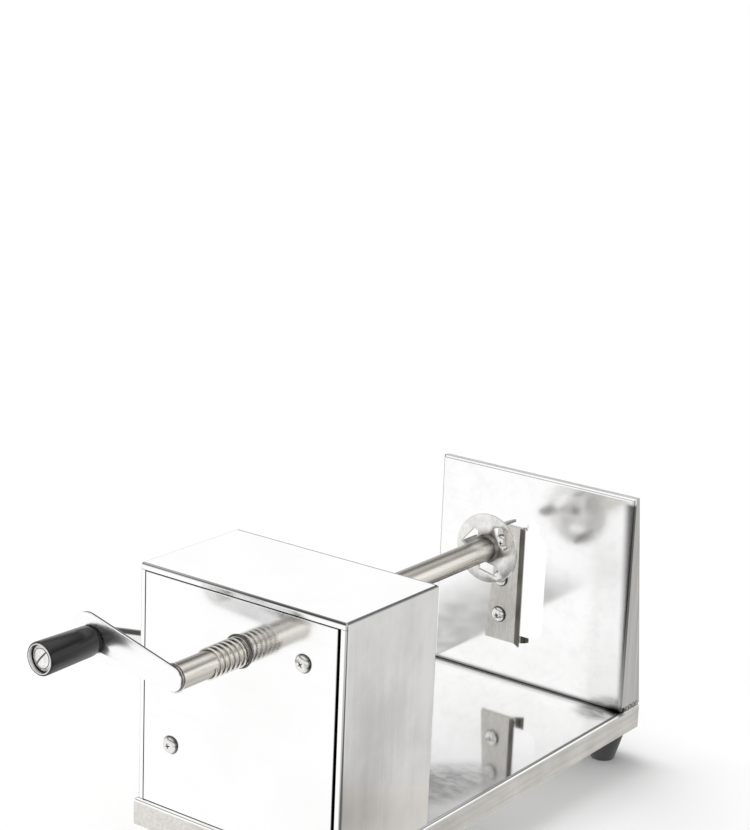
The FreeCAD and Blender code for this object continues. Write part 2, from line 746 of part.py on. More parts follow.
def front_bush():
    """Fixed ring that guides the wire thread through the front panel, flanged behind its bracket."""
    radius = f"({CREST_BORE} + sizes.bush_wall)"
    start = f"({COVER_Y} - sizes.front_bush_proud)"
    flange_y = f"({PANEL_BACK} + sizes.bracket_sheet)"
    barrel = cylinder("front_bush_barrel", radius, "sizes.front_bush_length", "0", start, AXIS, "y")
    flange = cylinder("front_bush_flange", f"{radius} + sizes.bush_flange", "sizes.front_bush_length "
                      f"- sizes.front_bush_proud - sizes.panel_sheet - sizes.bracket_sheet",
                      "0", flange_y, AXIS, "y")
    hole = cylinder("front_bush_hole", CREST_BORE, "sizes.front_bush_length", "0", start, AXIS, "y")
    piece(cut("front_bush", fuse("front_bush_solid", barrel, flange), hole), "front_bush")


def rear_bush():
    """Flanged bush in the rear panel, in which the guide sleeve turns."""
    barrel = cylinder("rear_bush_barrel", REAR_BUSH_RADIUS, "sizes.rear_bush_length", "0", BUSH_FRONT,
                      AXIS, "y")
    flange = cylinder("rear_bush_flange", f"{REAR_BUSH_RADIUS} + sizes.bush_flange",
                      "sizes.bush_flange_sheet", "0", COVER_BACK, AXIS, "y")
    hole = cylinder("rear_bush_hole", REAR_BUSH_BORE, "sizes.rear_bush_length", "0", BUSH_FRONT, AXIS,
                    "y")
    piece(cut("rear_bush", fuse("rear_bush_solid", barrel, flange), hole), "rear_bush")


def guide_sleeve():
    """Loose sleeve that the thread slides through and that turns with it, held by a collar and a ring."""
    start = f"({BUSH_FRONT} - sizes.sleeve_end_play - sizes.sleeve_collar)"
    groove_y = f"({BUSH_BACK} + sizes.sleeve_end_play)"
    length = f"({groove_y} + 2 * sizes.ring_sheet - {start})"
    collar_radius = f"({SLEEVE_RADIUS} + sizes.rear_bush_wall / 2)"
    barrel = cylinder("guide_sleeve_barrel", SLEEVE_RADIUS, length, "0", start, AXIS, "y")
    collar = cylinder("guide_sleeve_collar", collar_radius, "sizes.sleeve_collar", "0", start, AXIS, "y")
    hole = cylinder("guide_sleeve_hole", CREST_BORE, length, "0", start, AXIS, "y")
    groove = tube("guide_sleeve_groove", collar_radius, f"{SLEEVE_RADIUS} - sizes.ring_groove",
                  "sizes.ring_sheet", "0", groove_y, AXIS)
    solid = fuse("guide_sleeve_solid", barrel, collar)
    piece(cut("guide_sleeve", solid, hole, groove), "guide_sleeve")
    ring = tube("sleeve_ring_whole", collar_radius,
                f"{SLEEVE_RADIUS} - sizes.ring_groove + sizes.screw_play", "sizes.ring_sheet", "0",
                groove_y, AXIS)
    gap = block("sleeve_ring_gap", "sizes.ring_gap", "3 * sizes.ring_sheet", collar_radius,
                "-sizes.ring_gap / 2", f"{groove_y} - sizes.ring_sheet",
                f"{AXIS} - {collar_radius} - sizes.ring_sheet")
    piece(cut("sleeve_ring", ring, gap), "sleeve_ring")


def turned(x, y, z, angle):
    """A placement expression: local Z along +Y, then a turn about +Y by an angle in degrees."""
    turn = f"rotation(vector(0; 1; 0); {angle}) * rotation(vector(1; 0; 0); -90)"
    return f"placement(vector({x}; {y}; {z}); {turn})"


def shaft():
    """The hollow tube, the wire thread wound round it, and the socket that takes the stick."""
    length = f"({DISC_Y} - {ARM_BACK})"
    piece(tube("shaft_tube", "sizes.shaft_radius", "sizes.shaft_bore", length, "0", ARM_BACK, AXIS),
          "shaft_tube")
    start = f"({FRONT} - sizes.thread_reach)"
    radius = "(sizes.shaft_radius + sizes.wire_seat + sizes.wire_radius)"
    height = "sizes.thread_pitch * sizes.thread_turns"
    wire = coil("feed_wire", "sizes.wire_radius", radius, "sizes.thread_pitch", height)
    # The turn puts the lever's tooth, under the tube, midway between two windings.
    phase = f"360 * (0.75 - ({TOOTH_Y} - {start}) / sizes.thread_pitch)"
    wire.setExpression("Placement", turned("0", start, AXIS, phase))
    piece(wire, "feed_wire")
    socket_y = f"{DISC_Y} - sizes.socket_length"
    piece(tube("stick_socket", "sizes.shaft_bore - sizes.close", "sizes.stick_radius",
               "sizes.socket_length", "0", socket_y, AXIS), "stick_socket")


def weld_collar(label, y, leg, first, last):
    """A ring of weld round the tube: its length, and how far it stands off the tube at either end."""
    outside = cone(f"{label}_outside", f"sizes.shaft_radius + {first}", f"sizes.shaft_radius + {last}",
                   leg, "0", y, AXIS, "y")
    hole = cylinder(f"{label}_hole", "sizes.shaft_radius + sizes.close", leg, "0", y, AXIS, "y")
    piece(cut(label, outside, hole), label)


def crank_arm():
    """Flat strip from the shaft's end to the grip, wider and fully round at the grip."""
    body = new_body("crank_arm")
    small, big = "sizes.arm_shaft_end", "sizes.arm_grip_end"
    left, rise = "sizes.arm_left", "sizes.arm_rise"
    span = f"sqrt({left} ^ 2 + {rise} ^ 2)"
    lean = f"(({big} - {small}) / {span})"
    across = f"sqrt(1 - {lean} ^ 2)"

    def touch(x, z, radius, sign):
        """Where the strip's straight side meets one of its round ends."""
        return (
            f"{x} + {radius} * ({lean} * {left} + {sign} * {across} * {rise}) / {span}",
            f"{z} + {radius} * (-1 * {lean} * {rise} + {sign} * {across} * {left}) / {span}",
        )

    grip_end = (f"(-1 * {left})", f"({AXIS} + {rise})")
    strip = new_sketch(body, "XZ_Plane", ARM_Y)
    outline(strip, [touch("0", AXIS, small, "1"), touch("0", AXIS, small, "-1"),
                    touch(*grip_end, big, "-1"), touch(*grip_end, big, "1")])
    pad(body, strip, "sizes.arm_sheet")
    for x, z, radius in (("0", AXIS, small), (*grip_end, big)):
        end = new_sketch(body, "XZ_Plane", ARM_Y)
        circle(end, x, z, radius)
        pad(body, end, "sizes.arm_sheet")
    hole = new_sketch(body, "XZ_Plane", f"{ARM_Y} - sizes.arm_sheet")
    circle(hole, "-sizes.grip_left", f"{AXIS} + sizes.grip_rise", "sizes.bolt_radius + sizes.close")
    pocket(body, hole, "3 * sizes.arm_sheet")


def grip_parts():
    """The loose grip on its shouldered bolt, with a bright ring in its open end."""
    x, z = "-sizes.grip_left", f"{AXIS} + sizes.grip_rise"
    inner = f"({ARM_Y} - sizes.washer_sheet - sizes.grip_play)"
    outer = f"({inner} - sizes.grip_length)"
    head = f"({outer} + sizes.grip_recess_depth - sizes.grip_play)"
    ring = "(sizes.grip_recess + sizes.grip_liner)"
    solid = cone("grip_solid", "sizes.grip_outer_radius", "sizes.grip_inner_radius",
                 "sizes.grip_length", x, outer, z, "y")
    bore = cylinder("grip_bore", "sizes.bolt_radius + sizes.running", "sizes.grip_length", x, outer, z,
                    "y")
    recess = cylinder("grip_recess", "sizes.grip_recess", "sizes.grip_recess_depth", x, outer, z, "y")
    seat = cylinder("grip_seat", ring, "sizes.grip_liner_depth", x, outer, z, "y")
    piece(cut("grip", solid, bore, recess, seat), "grip")
    piece(tube("grip_ring", f"{ring} - sizes.close", "sizes.grip_recess", "sizes.grip_liner_depth", x,
               outer, z), "grip_ring")
    reach = f"({ARM_BACK} + sizes.nut_height + sizes.screw_end - {head})"
    piece(screw("grip_bolt", reach, x, head, z, "y", "sizes.bolt_head", "sizes.bolt_head_height",
                "sizes.bolt_radius", False), "grip_bolt")
    piece(tube("grip_washer", "sizes.washer_radius", "sizes.bolt_radius + sizes.close",
               "sizes.washer_sheet", x, f"{ARM_Y} - sizes.washer_sheet", z), "grip_washer")
    piece(nut("grip_nut", x, ARM_BACK, z, "y", "sizes.bolt_radius + sizes.close",
              "sizes.grip_nut_radius"), "grip_nut")


def prong_disc():
    """Disc with three pointed prongs, each punched out of it and bent up towards the knife."""
    wall, width = "sizes.disc_sheet", "sizes.prong_width"
    centre = "sizes.prong_offset"
    near, far = f"{centre} - {width} / 2", f"{centre} + {width} / 2"
    start, end = "-sizes.prong_start", "sizes.prong_length - sizes.prong_start"
    tip = f"{wall} + sizes.prong_length"

    def tongue(root, point):
        """A tongue's outline from its root to its lopsided point."""
        return [(root, near), (f"{point} - sizes.prong_point_inner", near), (point, centre),
                (f"{point} - sizes.prong_point_outer", far), (root, far)]

    notches, prongs = [], []
    for i in range(3):
        turn = f"rotation(vector(0; 1; 0); sizes.prong_turn + {120 * i})"
        where = f"placement(vector(0; {DISC_Y}; {AXIS}); {turn})"
        notch = doc.addObject("PartDesign::Body", f"prong_notch_{i}")
        hole = new_sketch(notch, "XZ_Plane", f"-{wall}")
        outline(hole, tongue(f"{start} + {wall}", end))
        pad(notch, hole, f"3 * {wall}")
        notch.setExpression("Placement", where)
        notches.append(notch)
        prong = doc.addObject("PartDesign::Body", f"prong_{i}")
        blade = new_sketch(prong, "YZ_Plane", start)
        outline(blade, tongue("0", tip))
        pad(prong, blade, wall)
        prong.setExpression("Placement", where)
        prongs.append(prong)
    disc = cylinder("prong_disc_blank", "sizes.disc_radius", wall, "0", DISC_Y, AXIS, "y")
    stick = cylinder("prong_disc_hole", "sizes.stick_radius", wall, "0", DISC_Y, AXIS, "y")
    punched = cut("prong_disc_punched", disc, stick, *notches)
    piece(fuse("prong_disc", punched, *prongs), "prong_disc")


def knife():
    """Plate on the end plate; its right-hand strip is bent forwards and ground to an edge."""
    body = new_body("knife")
    wall = "sizes.knife_sheet"
    run, rise = "(sizes.knife_bend - sizes.knife_edge)", "sizes.knife_rise"
    length = f"sqrt({run} ^ 2 + {rise} ^ 2)"
    fold_x = "-sizes.knife_bend"
    tip_x, tip_y = "-sizes.knife_edge", f"{PLATE_Y} - {wall} - {rise}"
    left = "-sizes.knife_left_low"
    low, high = f"{FLOOR} + sizes.knife_low", f"{FLOOR} + sizes.knife_high"
    section = new_sketch(body, "XY_Plane", low)
    outline(section, [
        (left, PLATE_Y),
        (f"{fold_x} + {wall} * {rise} / ({length} + {run})", PLATE_Y),
        (f"{tip_x} - (sizes.knife_bevel * {run} - {wall} * {rise}) / {length}",
         f"{tip_y} + (sizes.knife_bevel * {rise} + {wall} * {run}) / {length}"),
        (tip_x, tip_y),
        (fold_x, f"{PLATE_Y} - {wall}"),
        (left, f"{PLATE_Y} - {wall}"),
    ])
    pad(body, section, "sizes.knife_high - sizes.knife_low")
    slant = new_sketch(body, "XZ_Plane", f"{PLATE_Y} - 2 * {wall}")
    outline(slant, [(f"{left} - {wall}", low), (left, low), ("-sizes.knife_left_high", high),
                    ("-sizes.knife_left_high", f"{high} + {wall}"),
                    (f"{left} - {wall}", f"{high} + {wall}")])
    pocket(body, slant, f"3 * {wall}")
    holes = new_sketch(body, "XZ_Plane", f"{PLATE_Y} - 2 * {wall}")
    for z in knife_screw_heights():
        circle(holes, "-sizes.knife_screw_x", z, SCREW_HOLE)
    pocket(body, holes, f"3 * {wall}")


def release_lever():
    """The half-nut lever: a toothed plate on a hub, and a rod that comes out of the housing's side."""
    slope, left = "sizes.rod_slope", "sizes.pivot_left"

    def along(distance, height):
        """A point by its distance from the pivot along the rod, and its height off the rod's line."""
        return (f"-{left} - ({distance}) * cos({slope}) - ({height}) * sin({slope})",
                f"{PIVOT_Z} - ({distance}) * sin({slope}) + ({height}) * cos({slope})")

    body = new_body("lever_plate")
    half = "sizes.tooth_width / 2"
    under = f"{AXIS} - {WIRE_CREST}"
    tail, waist = "sizes.lever_tail_half", "sizes.lever_waist"
    shape = new_sketch(body, "XZ_Plane", f"{TOOTH_Y} - sizes.tooth_sheet / 2")
    outline(shape, [
        along("sizes.lever_tail", tail),
        along("sizes.lever_tail", f"-{tail}"),
        (f"-{left}", f"{PIVOT_Z} - {waist}"),
        (f"-{half} - sizes.tooth_width / 2", f"{under} - sizes.tooth_depth"),
        (half, f"{under} - sizes.tooth_depth"),
        (half, f"{AXIS} - sizes.shaft_radius / 2"),
        (f"-{half}", f"{AXIS} - sizes.shaft_radius / 2"),
        (f"-{half}", f"{under} - sizes.bush_flange_sheet"),
        (f"-{left}", f"{PIVOT_Z} + {waist}"),
    ])
    pad(body, shape, "sizes.tooth_sheet")
    round_cut = new_sketch(body, "XZ_Plane", f"{TOOTH_Y} - sizes.tooth_sheet")
    circle(round_cut, "0", AXIS, "sizes.shaft_radius + sizes.tooth_gap")
    circle(round_cut, f"-{left}", PIVOT_Z, "sizes.hub_radius + sizes.close")
    pocket(body, round_cut, "2 * sizes.tooth_sheet")

    hub_y = f"{PANEL_BACK} + sizes.bracket_sheet + sizes.hub_play"
    hub_length = "sizes.bracket_depth - 2 * sizes.bracket_sheet - 2 * sizes.hub_play"
    piece(tube("lever_hub", "sizes.hub_radius", "sizes.pin_radius + sizes.sleeve_running", hub_length,
               f"-{left}", hub_y, PIVOT_Z), "lever_hub")

    # The rod is modelled upright with the pivot at its origin, then leaned over.
    length = "sizes.rod_length - sizes.rod_radius"
    bar = cylinder("lever_rod_bar", "sizes.rod_radius", f"{length}", "0", "0", "sizes.rod_start")
    ball = doc.addObject("Part::Sphere", "lever_rod_ball")
    ball.setExpression("Radius", "sizes.rod_radius")
    ball.setExpression("Placement.Base.z", f"sizes.rod_start + {length}")
    slot = block("lever_rod_slot", "3 * sizes.rod_radius", "sizes.tooth_sheet + 2 * sizes.close",
                 "sizes.lever_tail - sizes.rod_start + sizes.close", "-1.5 * sizes.rod_radius",
                 "-sizes.tooth_sheet / 2 - sizes.close", "sizes.rod_start")
    peg_far = f"(sizes.spring_left - {left}) / cos({slope})"
    lean = f"rotation(vector(0; 1; 0); -90 - {slope})"
    solid = cut("lever_rod_slotted", fuse("lever_rod_solid", bar, ball), slot)
    solid.setExpression("Placement", f"placement(vector(-{left}; {TOOTH_Y}; {PIVOT_Z}); {lean})")
    peg_x, peg_z = along(peg_far, "0")
    peg_hole = cylinder("lever_rod_hole", "sizes.spring_peg_radius + sizes.close",
                        "3 * sizes.rod_radius", peg_x, TOOTH_Y, peg_z)
    piece(cut("lever_rod", solid, peg_hole), "lever_rod")

    seat_z = f"({peg_z} + sizes.rod_radius / cos({slope}) + sizes.spring_seat_radius * tan({slope}))"
    stem = cylinder("spring_pin_stem", "sizes.spring_peg_radius",
                    f"{seat_z} - ({peg_z}) + sizes.spring_peg_length", peg_x, TOOTH_Y, peg_z)
    seat = cylinder("spring_pin_seat", "sizes.spring_seat_radius", "sizes.spring_seat_sheet", peg_x,
                    TOOTH_Y, seat_z)
    piece(fuse("spring_pin", stem, seat), "spring_pin")
    return peg_x, f"({seat_z} + sizes.spring_seat_sheet)"


def spring_parts(x, low):
    """The spring that holds the lever's tooth up in the thread, and the cup above it."""
    ceiling = f"({FLOOR} + sizes.cover_height - sizes.cover_sheet)"
    cup_z = f"({ceiling} - sizes.spring_cup_sheet)"
    plate = cylinder("spring_cup_plate", "sizes.spring_seat_radius", "sizes.spring_cup_sheet", x,
                     TOOTH_Y, cup_z)
    stem = cylinder("spring_cup_stem", "sizes.spring_radius - 2 * sizes.spring_wire",
                    "sizes.spring_peg_length", x, TOOTH_Y, f"{cup_z} - sizes.spring_peg_length")
    piece(fuse("spring_cup", plate, stem), "spring_cup")
    height = f"({cup_z} - {low} - 2 * sizes.spring_wire)"
    spring = coil("lever_spring", "sizes.spring_wire", "sizes.spring_radius",
                  f"{height} / sizes.spring_turns", height)
    place(spring, x, TOOTH_Y, f"{low} + sizes.spring_wire")
    piece(spring, "lever_spring")


def pivot_parts():
    """The lever's pin between the bracket's walls, and the clip behind it."""
    back = f"({PANEL_BACK} + sizes.bracket_depth)"
    piece(cylinder("pivot_pin", "sizes.pin_radius - sizes.close",
                   "sizes.bracket_depth + 2 * sizes.clip_sheet", "-sizes.pivot_left", PANEL_BACK,
                   PIVOT_Z, "y"), "pivot_pin")
    piece(tube("pin_clip", "sizes.clip_radius", "sizes.pin_radius", "sizes.clip_sheet",
               "-sizes.pivot_left", back, PIVOT_Z), "pin_clip")


def feet():
    """Rubber feet, tapered below and round above, with a screw up through each."""
    height = f"({FLOOR} - sizes.tray_sheet)"
    rubber, screws, nuts = [], [], []
    for name, x, y in foot_places():
        taper = cone(f"foot_taper_{name}", "sizes.foot_base_radius", "sizes.foot_top_radius",
                     "sizes.foot_taper", x, y)
        upper = cylinder(f"foot_upper_{name}", "sizes.foot_top_radius", f"{height} - sizes.foot_taper",
                         x, y, "sizes.foot_taper")
        solid = fuse(f"foot_{name}", taper, upper)
        hole = cylinder(f"foot_hole_{name}", SCREW_HOLE, height, x, y)
        socket = cylinder(f"foot_socket_{name}", "sizes.foot_socket_radius", "sizes.foot_socket_depth",
                          x, y)
        rubber.append(cut(f"rubber_foot_{name}", solid, hole, socket))
        sheet = "sizes.cover_sheet" if name.startswith("front") else "sizes.plate_sheet"
        reach = f"{FLOOR} + {sheet} + sizes.nut_height + sizes.screw_end - sizes.foot_socket_depth"
        screws.append(screw(f"foot_screw_{name}", reach, x, y, "sizes.foot_socket_depth", "z"))
        nuts.append(nut(f"foot_nut_{name}", x, y, f"{FLOOR} + {sheet}", "z"))
    group("rubber_feet", rubber)
    group("foot_screws", screws)
    group("foot_nuts", nuts)


def fasteners():
    """The bolts up through the tray, and the screws of the knife and of the front panel."""
    bolts, nuts = [], []
    for name, x, y, sheet in tray_bolt_places():
        start = f"{FLOOR} - sizes.tray_sheet"
        reach = f"sizes.tray_sheet + {sheet} + sizes.nut_height + sizes.screw_end"
        bolts.append(screw(f"tray_bolt_{name}", reach, x, y, start, "z"))
        nuts.append(nut(f"tray_nut_{name}", x, y, f"{FLOOR} + {sheet}", "z"))
    group("tray_bolts", bolts)
    group("tray_nuts", nuts)

    screws, nuts = [], []
    for i, z in enumerate(knife_screw_heights()):
        x = "-sizes.knife_screw_x"
        reach = "sizes.knife_sheet + sizes.plate_sheet + sizes.nut_height + sizes.screw_end"
        screws.append(screw(f"knife_screw_{i}", reach, x, f"{PLATE_Y} - sizes.knife_sheet", z, "y"))
        nuts.append(nut(f"knife_nut_{i}", x, f"{PLATE_Y} + sizes.plate_sheet", z, "y"))
    group("knife_screws", screws)
    group("knife_nuts", nuts)

    screws, nuts = [], []
    for name, x, z in panel_screw_places():
        reach = "sizes.panel_sheet + sizes.bracket_sheet + sizes.nut_height + sizes.screw_end"
        screws.append(screw(f"panel_screw_{name}", reach, x, COVER_Y, z, "y"))
        nuts.append(nut(f"panel_nut_{name}", x, f"{PANEL_BACK} + sizes.bracket_sheet", z, "y"))
    group("panel_screws", screws)
    group("panel_nuts", nuts)


base_tray()
end_plate()
weld_beads()
housing_cover()
front_panel()
mechanism_bracket()
rear_panel()
front_bush()
rear_bush()
pivot_parts()
feet()
fasteners()
knife()
guide_sleeve()
shaft()
weld_collar("arm_weld", ARM_BACK, "sizes.arm_weld_leg", "sizes.arm_weld_leg", "sizes.weld_lip")
weld_collar("disc_weld", f"{DISC_Y} - sizes.disc_weld_leg", "sizes.disc_weld_leg", "sizes.weld_lip",
            "sizes.disc_weld_leg")
crank_arm()
grip_parts()
prong_disc()
spring_place = release_lever()
spring_parts(*spring_place)
doc.recompute()

for feature in doc.Objects:
    bad_state = {"Invalid", "Error"} & set(feature.State)
    if bad_state:
        raise RuntimeError(f"{feature.Name} is {feature.State}")
for feature in cuts:
    if feature.Shape.Volume >= feature.BaseFeature.Shape.Volume:
        raise RuntimeError(f"{feature.Name} removes nothing")

os.makedirs("parts", exist_ok=True)
for feature in pieces:
    shape = feature.Shape
    if shape.isNull() or not shape.isValid() or not shape.Solids:
        raise RuntimeError(f"{feature.Label} has no sound solid")
    shape.exportStep(f"parts/{feature.Label}.step")
    print(feature.Label, len(shape.Solids), round(shape.Volume))
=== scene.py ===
# %% [markdown]
# # A tornado potato cutter in polished sheet steel
# The machine pushes a potato along a wire thread against a fixed knife. Its sheet-metal parts and its shaft
# come from the CAD model at their true sizes, so this lesson is mostly about finishes: how to make polished,
# brushed and ground steel look like different surfaces under one plain light. The small turned pieces, such
# as screws, grip and feet, are modelled again here with the rounded edges that catch that light.

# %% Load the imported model
import bpy
import math
from mathutils import Matrix, Vector, noise


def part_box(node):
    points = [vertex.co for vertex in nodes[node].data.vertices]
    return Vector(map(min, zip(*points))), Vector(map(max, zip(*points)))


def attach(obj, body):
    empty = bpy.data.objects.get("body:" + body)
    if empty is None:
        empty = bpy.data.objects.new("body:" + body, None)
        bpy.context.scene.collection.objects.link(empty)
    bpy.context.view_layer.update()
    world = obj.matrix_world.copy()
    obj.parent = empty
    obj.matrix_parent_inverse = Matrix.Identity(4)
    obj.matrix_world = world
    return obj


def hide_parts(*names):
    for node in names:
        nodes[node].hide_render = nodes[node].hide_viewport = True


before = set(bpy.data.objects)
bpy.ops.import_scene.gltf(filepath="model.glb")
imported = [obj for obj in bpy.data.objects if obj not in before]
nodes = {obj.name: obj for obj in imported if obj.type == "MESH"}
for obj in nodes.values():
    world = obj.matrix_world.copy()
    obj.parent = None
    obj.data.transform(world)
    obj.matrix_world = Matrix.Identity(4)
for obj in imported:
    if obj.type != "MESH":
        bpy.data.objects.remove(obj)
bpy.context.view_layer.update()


# %% Read the places that later cells need
def corners(node):
    """A node's lowest and highest corners."""
    return [Vector(corner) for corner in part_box(node)]


MM = 0.001
tray_low, tray_high = corners("base_tray")
cover_low, cover_high = corners("housing_cover")
plate_low, plate_high = corners("end_plate")
panel_low, panel_high = corners("front_panel")
shaft_low, shaft_high = corners("shaft_tube")
disc_low, disc_high = corners("prong_disc")
knife_low, knife_high = corners("knife")
shaft_axis = Vector((0, 0, (shaft_low.z + shaft_high.z) / 2))
HEAD_RADIUS, HEAD_HEIGHT = 4.75 * MM, 2.9 * MM
screw_low, screw_high = corners("knife_screws")
middle_x, head_y = (screw_low.x + screw_high.x) / 2, screw_low.y + HEAD_HEIGHT
first_z, last_z = screw_low.z + HEAD_RADIUS, screw_high.z - HEAD_RADIUS
knife_screw_places = [Vector((middle_x, head_y, z)) for z in (first_z, (first_z + last_z) / 2, last_z)]
knife_screw_reach = screw_high.y - head_y
screw_low, screw_high = corners("panel_screws")
head_y = screw_low.y + HEAD_HEIGHT
panel_screw_places = [Vector((screw_high.x - HEAD_RADIUS, head_y, screw_high.z - HEAD_RADIUS)),
                      Vector((screw_low.x + HEAD_RADIUS, head_y, screw_low.z + HEAD_RADIUS))]
panel_screw_reach = screw_high.y - head_y
print("tray top", round(tray_high.z, 4), "shaft axis", round(shaft_axis.z, 4))

# %% [markdown]
# ## The camera
# The picture was taken from the crank's side, a little above the housing, with a long lens. Azimuth turns the
# camera about the upright axis, elevation tips it down, and the last turn is the slight roll of the picture.
# A long lens keeps the parallel edges of the sheet metal nearly parallel. The small shift frames the machine
# low and to the right without turning the camera.

# %% Place the camera
AZIMUTH = math.radians(36.7)
ELEVATION = math.radians(14.1)
ROLL = math.radians(2.15)
CAMERA_PLACE = Vector((0.637, -0.9115, 0.522))
SENSOR_WIDTH, LENS = 36, 90.2
SHIFT_RIGHT, SHIFT_UP = 0.0217, -0.0265

camera_data = bpy.data.cameras.new("camera")
camera_data.sensor_width = SENSOR_WIDTH
camera_data.lens = LENS
camera_data.shift_x = SHIFT_RIGHT
camera_data.shift_y = SHIFT_UP
camera = bpy.data.objects.new("camera", camera_data)
bpy.context.scene.collection.objects.link(camera)
turn = Matrix.Rotation(AZIMUTH, 4, "Z")
tip = Matrix.Rotation(math.pi / 2 - ELEVATION, 4, "X")
roll = Matrix.Rotation(ROLL, 4, "Z")
camera.matrix_world = Matrix.Translation(CAMERA_PLACE) @ turn @ tip @ roll
bpy.context.scene.camera = camera
bpy.context.scene.view_settings.view_transform = "Standard"
print("camera at", tuple(round(v, 3) for v in CAMERA_PLACE))

# %% [markdown]
# ## Shader maths in Python
# A material is a small program of nodes. Two classes keep it readable: a `Finish` holds a material and adds
# nodes to it, and a `Value` is one socket whose arithmetic adds the Math nodes, so a pattern reads as a sum.
# A `Finish` also carries the colour, roughness and height that it has so far, and its stain method changes
# them where a mask is 1, one after another on top of the plain metal: real marks, painted shade and painted
# reflections.

# %% Two small classes for node materials
class Value:
    """One output socket of a material. Arithmetic on it adds Math nodes."""

    def __init__(self, finish, socket):
        self.finish = finish
        self.socket = socket

    def math(self, operation, *terms):
        return self.finish.node("Math", {"operation": operation}, *terms)

    def __add__(self, other):
        return self.math("ADD", self, other)

    def __sub__(self, other):
        return self.math("SUBTRACT", self, other)

    def __rsub__(self, other):
        return self.math("SUBTRACT", other, self)

    def __mul__(self, other):
        return self.math("MULTIPLY", self, other)

    def __abs__(self):
        return self.math("ABSOLUTE", self)

    __radd__ = __add__
    __rmul__ = __mul__


class Finish:
    """A material, the one method that adds nodes to it, and its colour, roughness and height so far."""

    def __init__(self, name, **constants):
        self.material = bpy.data.materials.new(name)
        self.material.use_nodes = True
        self.tree = self.material.node_tree
        self.shader = self.tree.nodes["Principled BSDF"]
        for socket, value in constants.items():
            self.feed(self.shader.inputs[socket.replace("_", " ")], value)
        self.colour = None
        self.roughness = None
        self.height = None

    def feed(self, socket, value):
        if isinstance(value, Value):
            self.tree.links.new(value.socket, socket)
        else:
            socket.default_value = value

    def node(self, kind, settings, *values, out=0, **named):
        """A node with its settings, then the values or links of its inputs, in order or by name."""
        new = self.tree.nodes.new("ShaderNode" + kind)
        for name, value in settings.items():
            setattr(new, name, value)
        for socket, value in zip(new.inputs, values):
            self.feed(socket, value)
        for name, value in named.items():
            self.feed(new.inputs[name.replace("_", " ")], value)
        return Value(self, new.outputs[out])

    def place(self):
        """The point's place on the machine, in metres."""
        return self.node("TexCoord", {}, out="Object")

    def axes(self):
        """The same place as three separate numbers."""
        split = self.node("SeparateXYZ", {}, self.place()).socket.node
        return [Value(self, split.outputs[i]) for i in range(3)]

    def noise(self, scale, stretch=(1, 1, 1), detail=3, roughness=0.5):
        """Soft noise from 0 to 1. A stretch below 1 draws it out along that axis."""
        vector = self.node("Mapping", {}, self.place(), Scale=stretch)
        return self.node("TexNoise", {}, Vector=vector, Scale=scale, Detail=detail, Roughness=roughness)

    def ramp(self, value, low, high):
        """0 below low, 1 above high, and a smooth rise between."""
        settings = {"interpolation_type": "SMOOTHSTEP"}
        return self.node("MapRange", settings, value, low, high, 0.0, 1.0)

    def blob(self, centre, size, turn=(0, 0, 0), core=0.3):
        """1 in the core of an ellipsoid of this half size, and 0 outside it."""
        local = self.node("Mapping", {"vector_type": "TEXTURE"}, self.place(), centre, turn, size)
        length = self.node("VectorMath", {"operation": "LENGTH"}, local, out="Value")
        return 1 - self.ramp(length, core, 1.0)

    def mix(self, factor, first, second):
        """A colour between two colours."""
        new = self.tree.nodes.new("ShaderNodeMix")
        new.data_type = "RGBA"
        colour_sockets = [s for s in new.inputs if s.type == "RGBA"]
        self.feed(new.inputs[0], factor)
        self.feed(colour_sockets[0], first)
        self.feed(colour_sockets[1], second)
        return Value(self, next(s for s in new.outputs if s.type == "RGBA"))

    def stain_or_shade(self, mask, colour, roughness=0.0):
        """Change the colour where the mask is 1, for a real mark or for painted shade, and add to the
        roughness there.
        """
        self.colour = self.mix(mask, self.colour, colour)
        if roughness:
            self.roughness = self.roughness + mask * roughness

    def shade_under_heads(self, places):
        """A painted contact shadow: a dark rim round each screw's head."""
        for place in places:
            self.stain_or_shade(self.blob(place, (0.0055, 0.0055, 0.0055), core=0.87) * 0.85, grey(0.05, 0.05))

    def finished(self, depth):
        """The material, with its colour, roughness and a bump of this depth in metres linked."""
        self.feed(self.shader.inputs["Base Color"], self.colour)
        self.feed(self.shader.inputs["Roughness"], self.roughness)
        normal = self.node("Bump", {}, Strength=1.0, Distance=depth, Height=self.height)
        self.feed(self.shader.inputs["Normal"], normal)
        return self.material


def grey(level, warmth=0.0):
    """A nearly neutral colour. Warmth lowers its blue and raises its red a little."""
    return (level * (1 + warmth / 2), level, level * (1 - warmth), 1)


# %% [markdown]
# ## Light, floor and surroundings
# Polished steel shows what is round it, not itself, so the surroundings are half of its finish. Mirror rays
# see a white studio low down, a dark gap above it and a white softbox overhead, while the light that falls
# on the machine stays at a plain level. A flat sheet that faces sideways or up sees only white. A tube or a
# bend turns through all directions, so somewhere it sees the gap and draws a dark line, as in a light tent.

# %% The world
PLAIN_LIGHT = 0.60
SKY = ((0.39, 1.0), (0.46, 0.20), (0.60, 0.20), (0.72, 1.0))
world = bpy.data.worlds.new("studio")
bpy.context.scene.world = world
world.use_nodes = True
tree = world.node_tree
plain_light = tree.nodes["Background"]
plain_light.inputs["Color"].default_value = (1, 1, 1, 1)
plain_light.inputs["Strength"].default_value = PLAIN_LIGHT
seen = tree.nodes.new("ShaderNodeBackground")
seen.inputs["Strength"].default_value = 1.0
direction = tree.nodes.new("ShaderNodeTexCoord")
upward = tree.nodes.new("ShaderNodeSeparateXYZ")
tree.links.new(direction.outputs["Generated"], upward.inputs[0])
ceiling = tree.nodes.new("ShaderNodeValToRGB")
stops = ceiling.color_ramp.elements
while len(stops) < len(SKY):
    stops.new(1.0)
for stop, (height, level) in zip(stops, SKY):
    stop.position = height
    stop.color = grey(level)
tree.links.new(upward.outputs["Z"], ceiling.inputs[0])
tree.links.new(ceiling.outputs[0], seen.inputs["Color"])
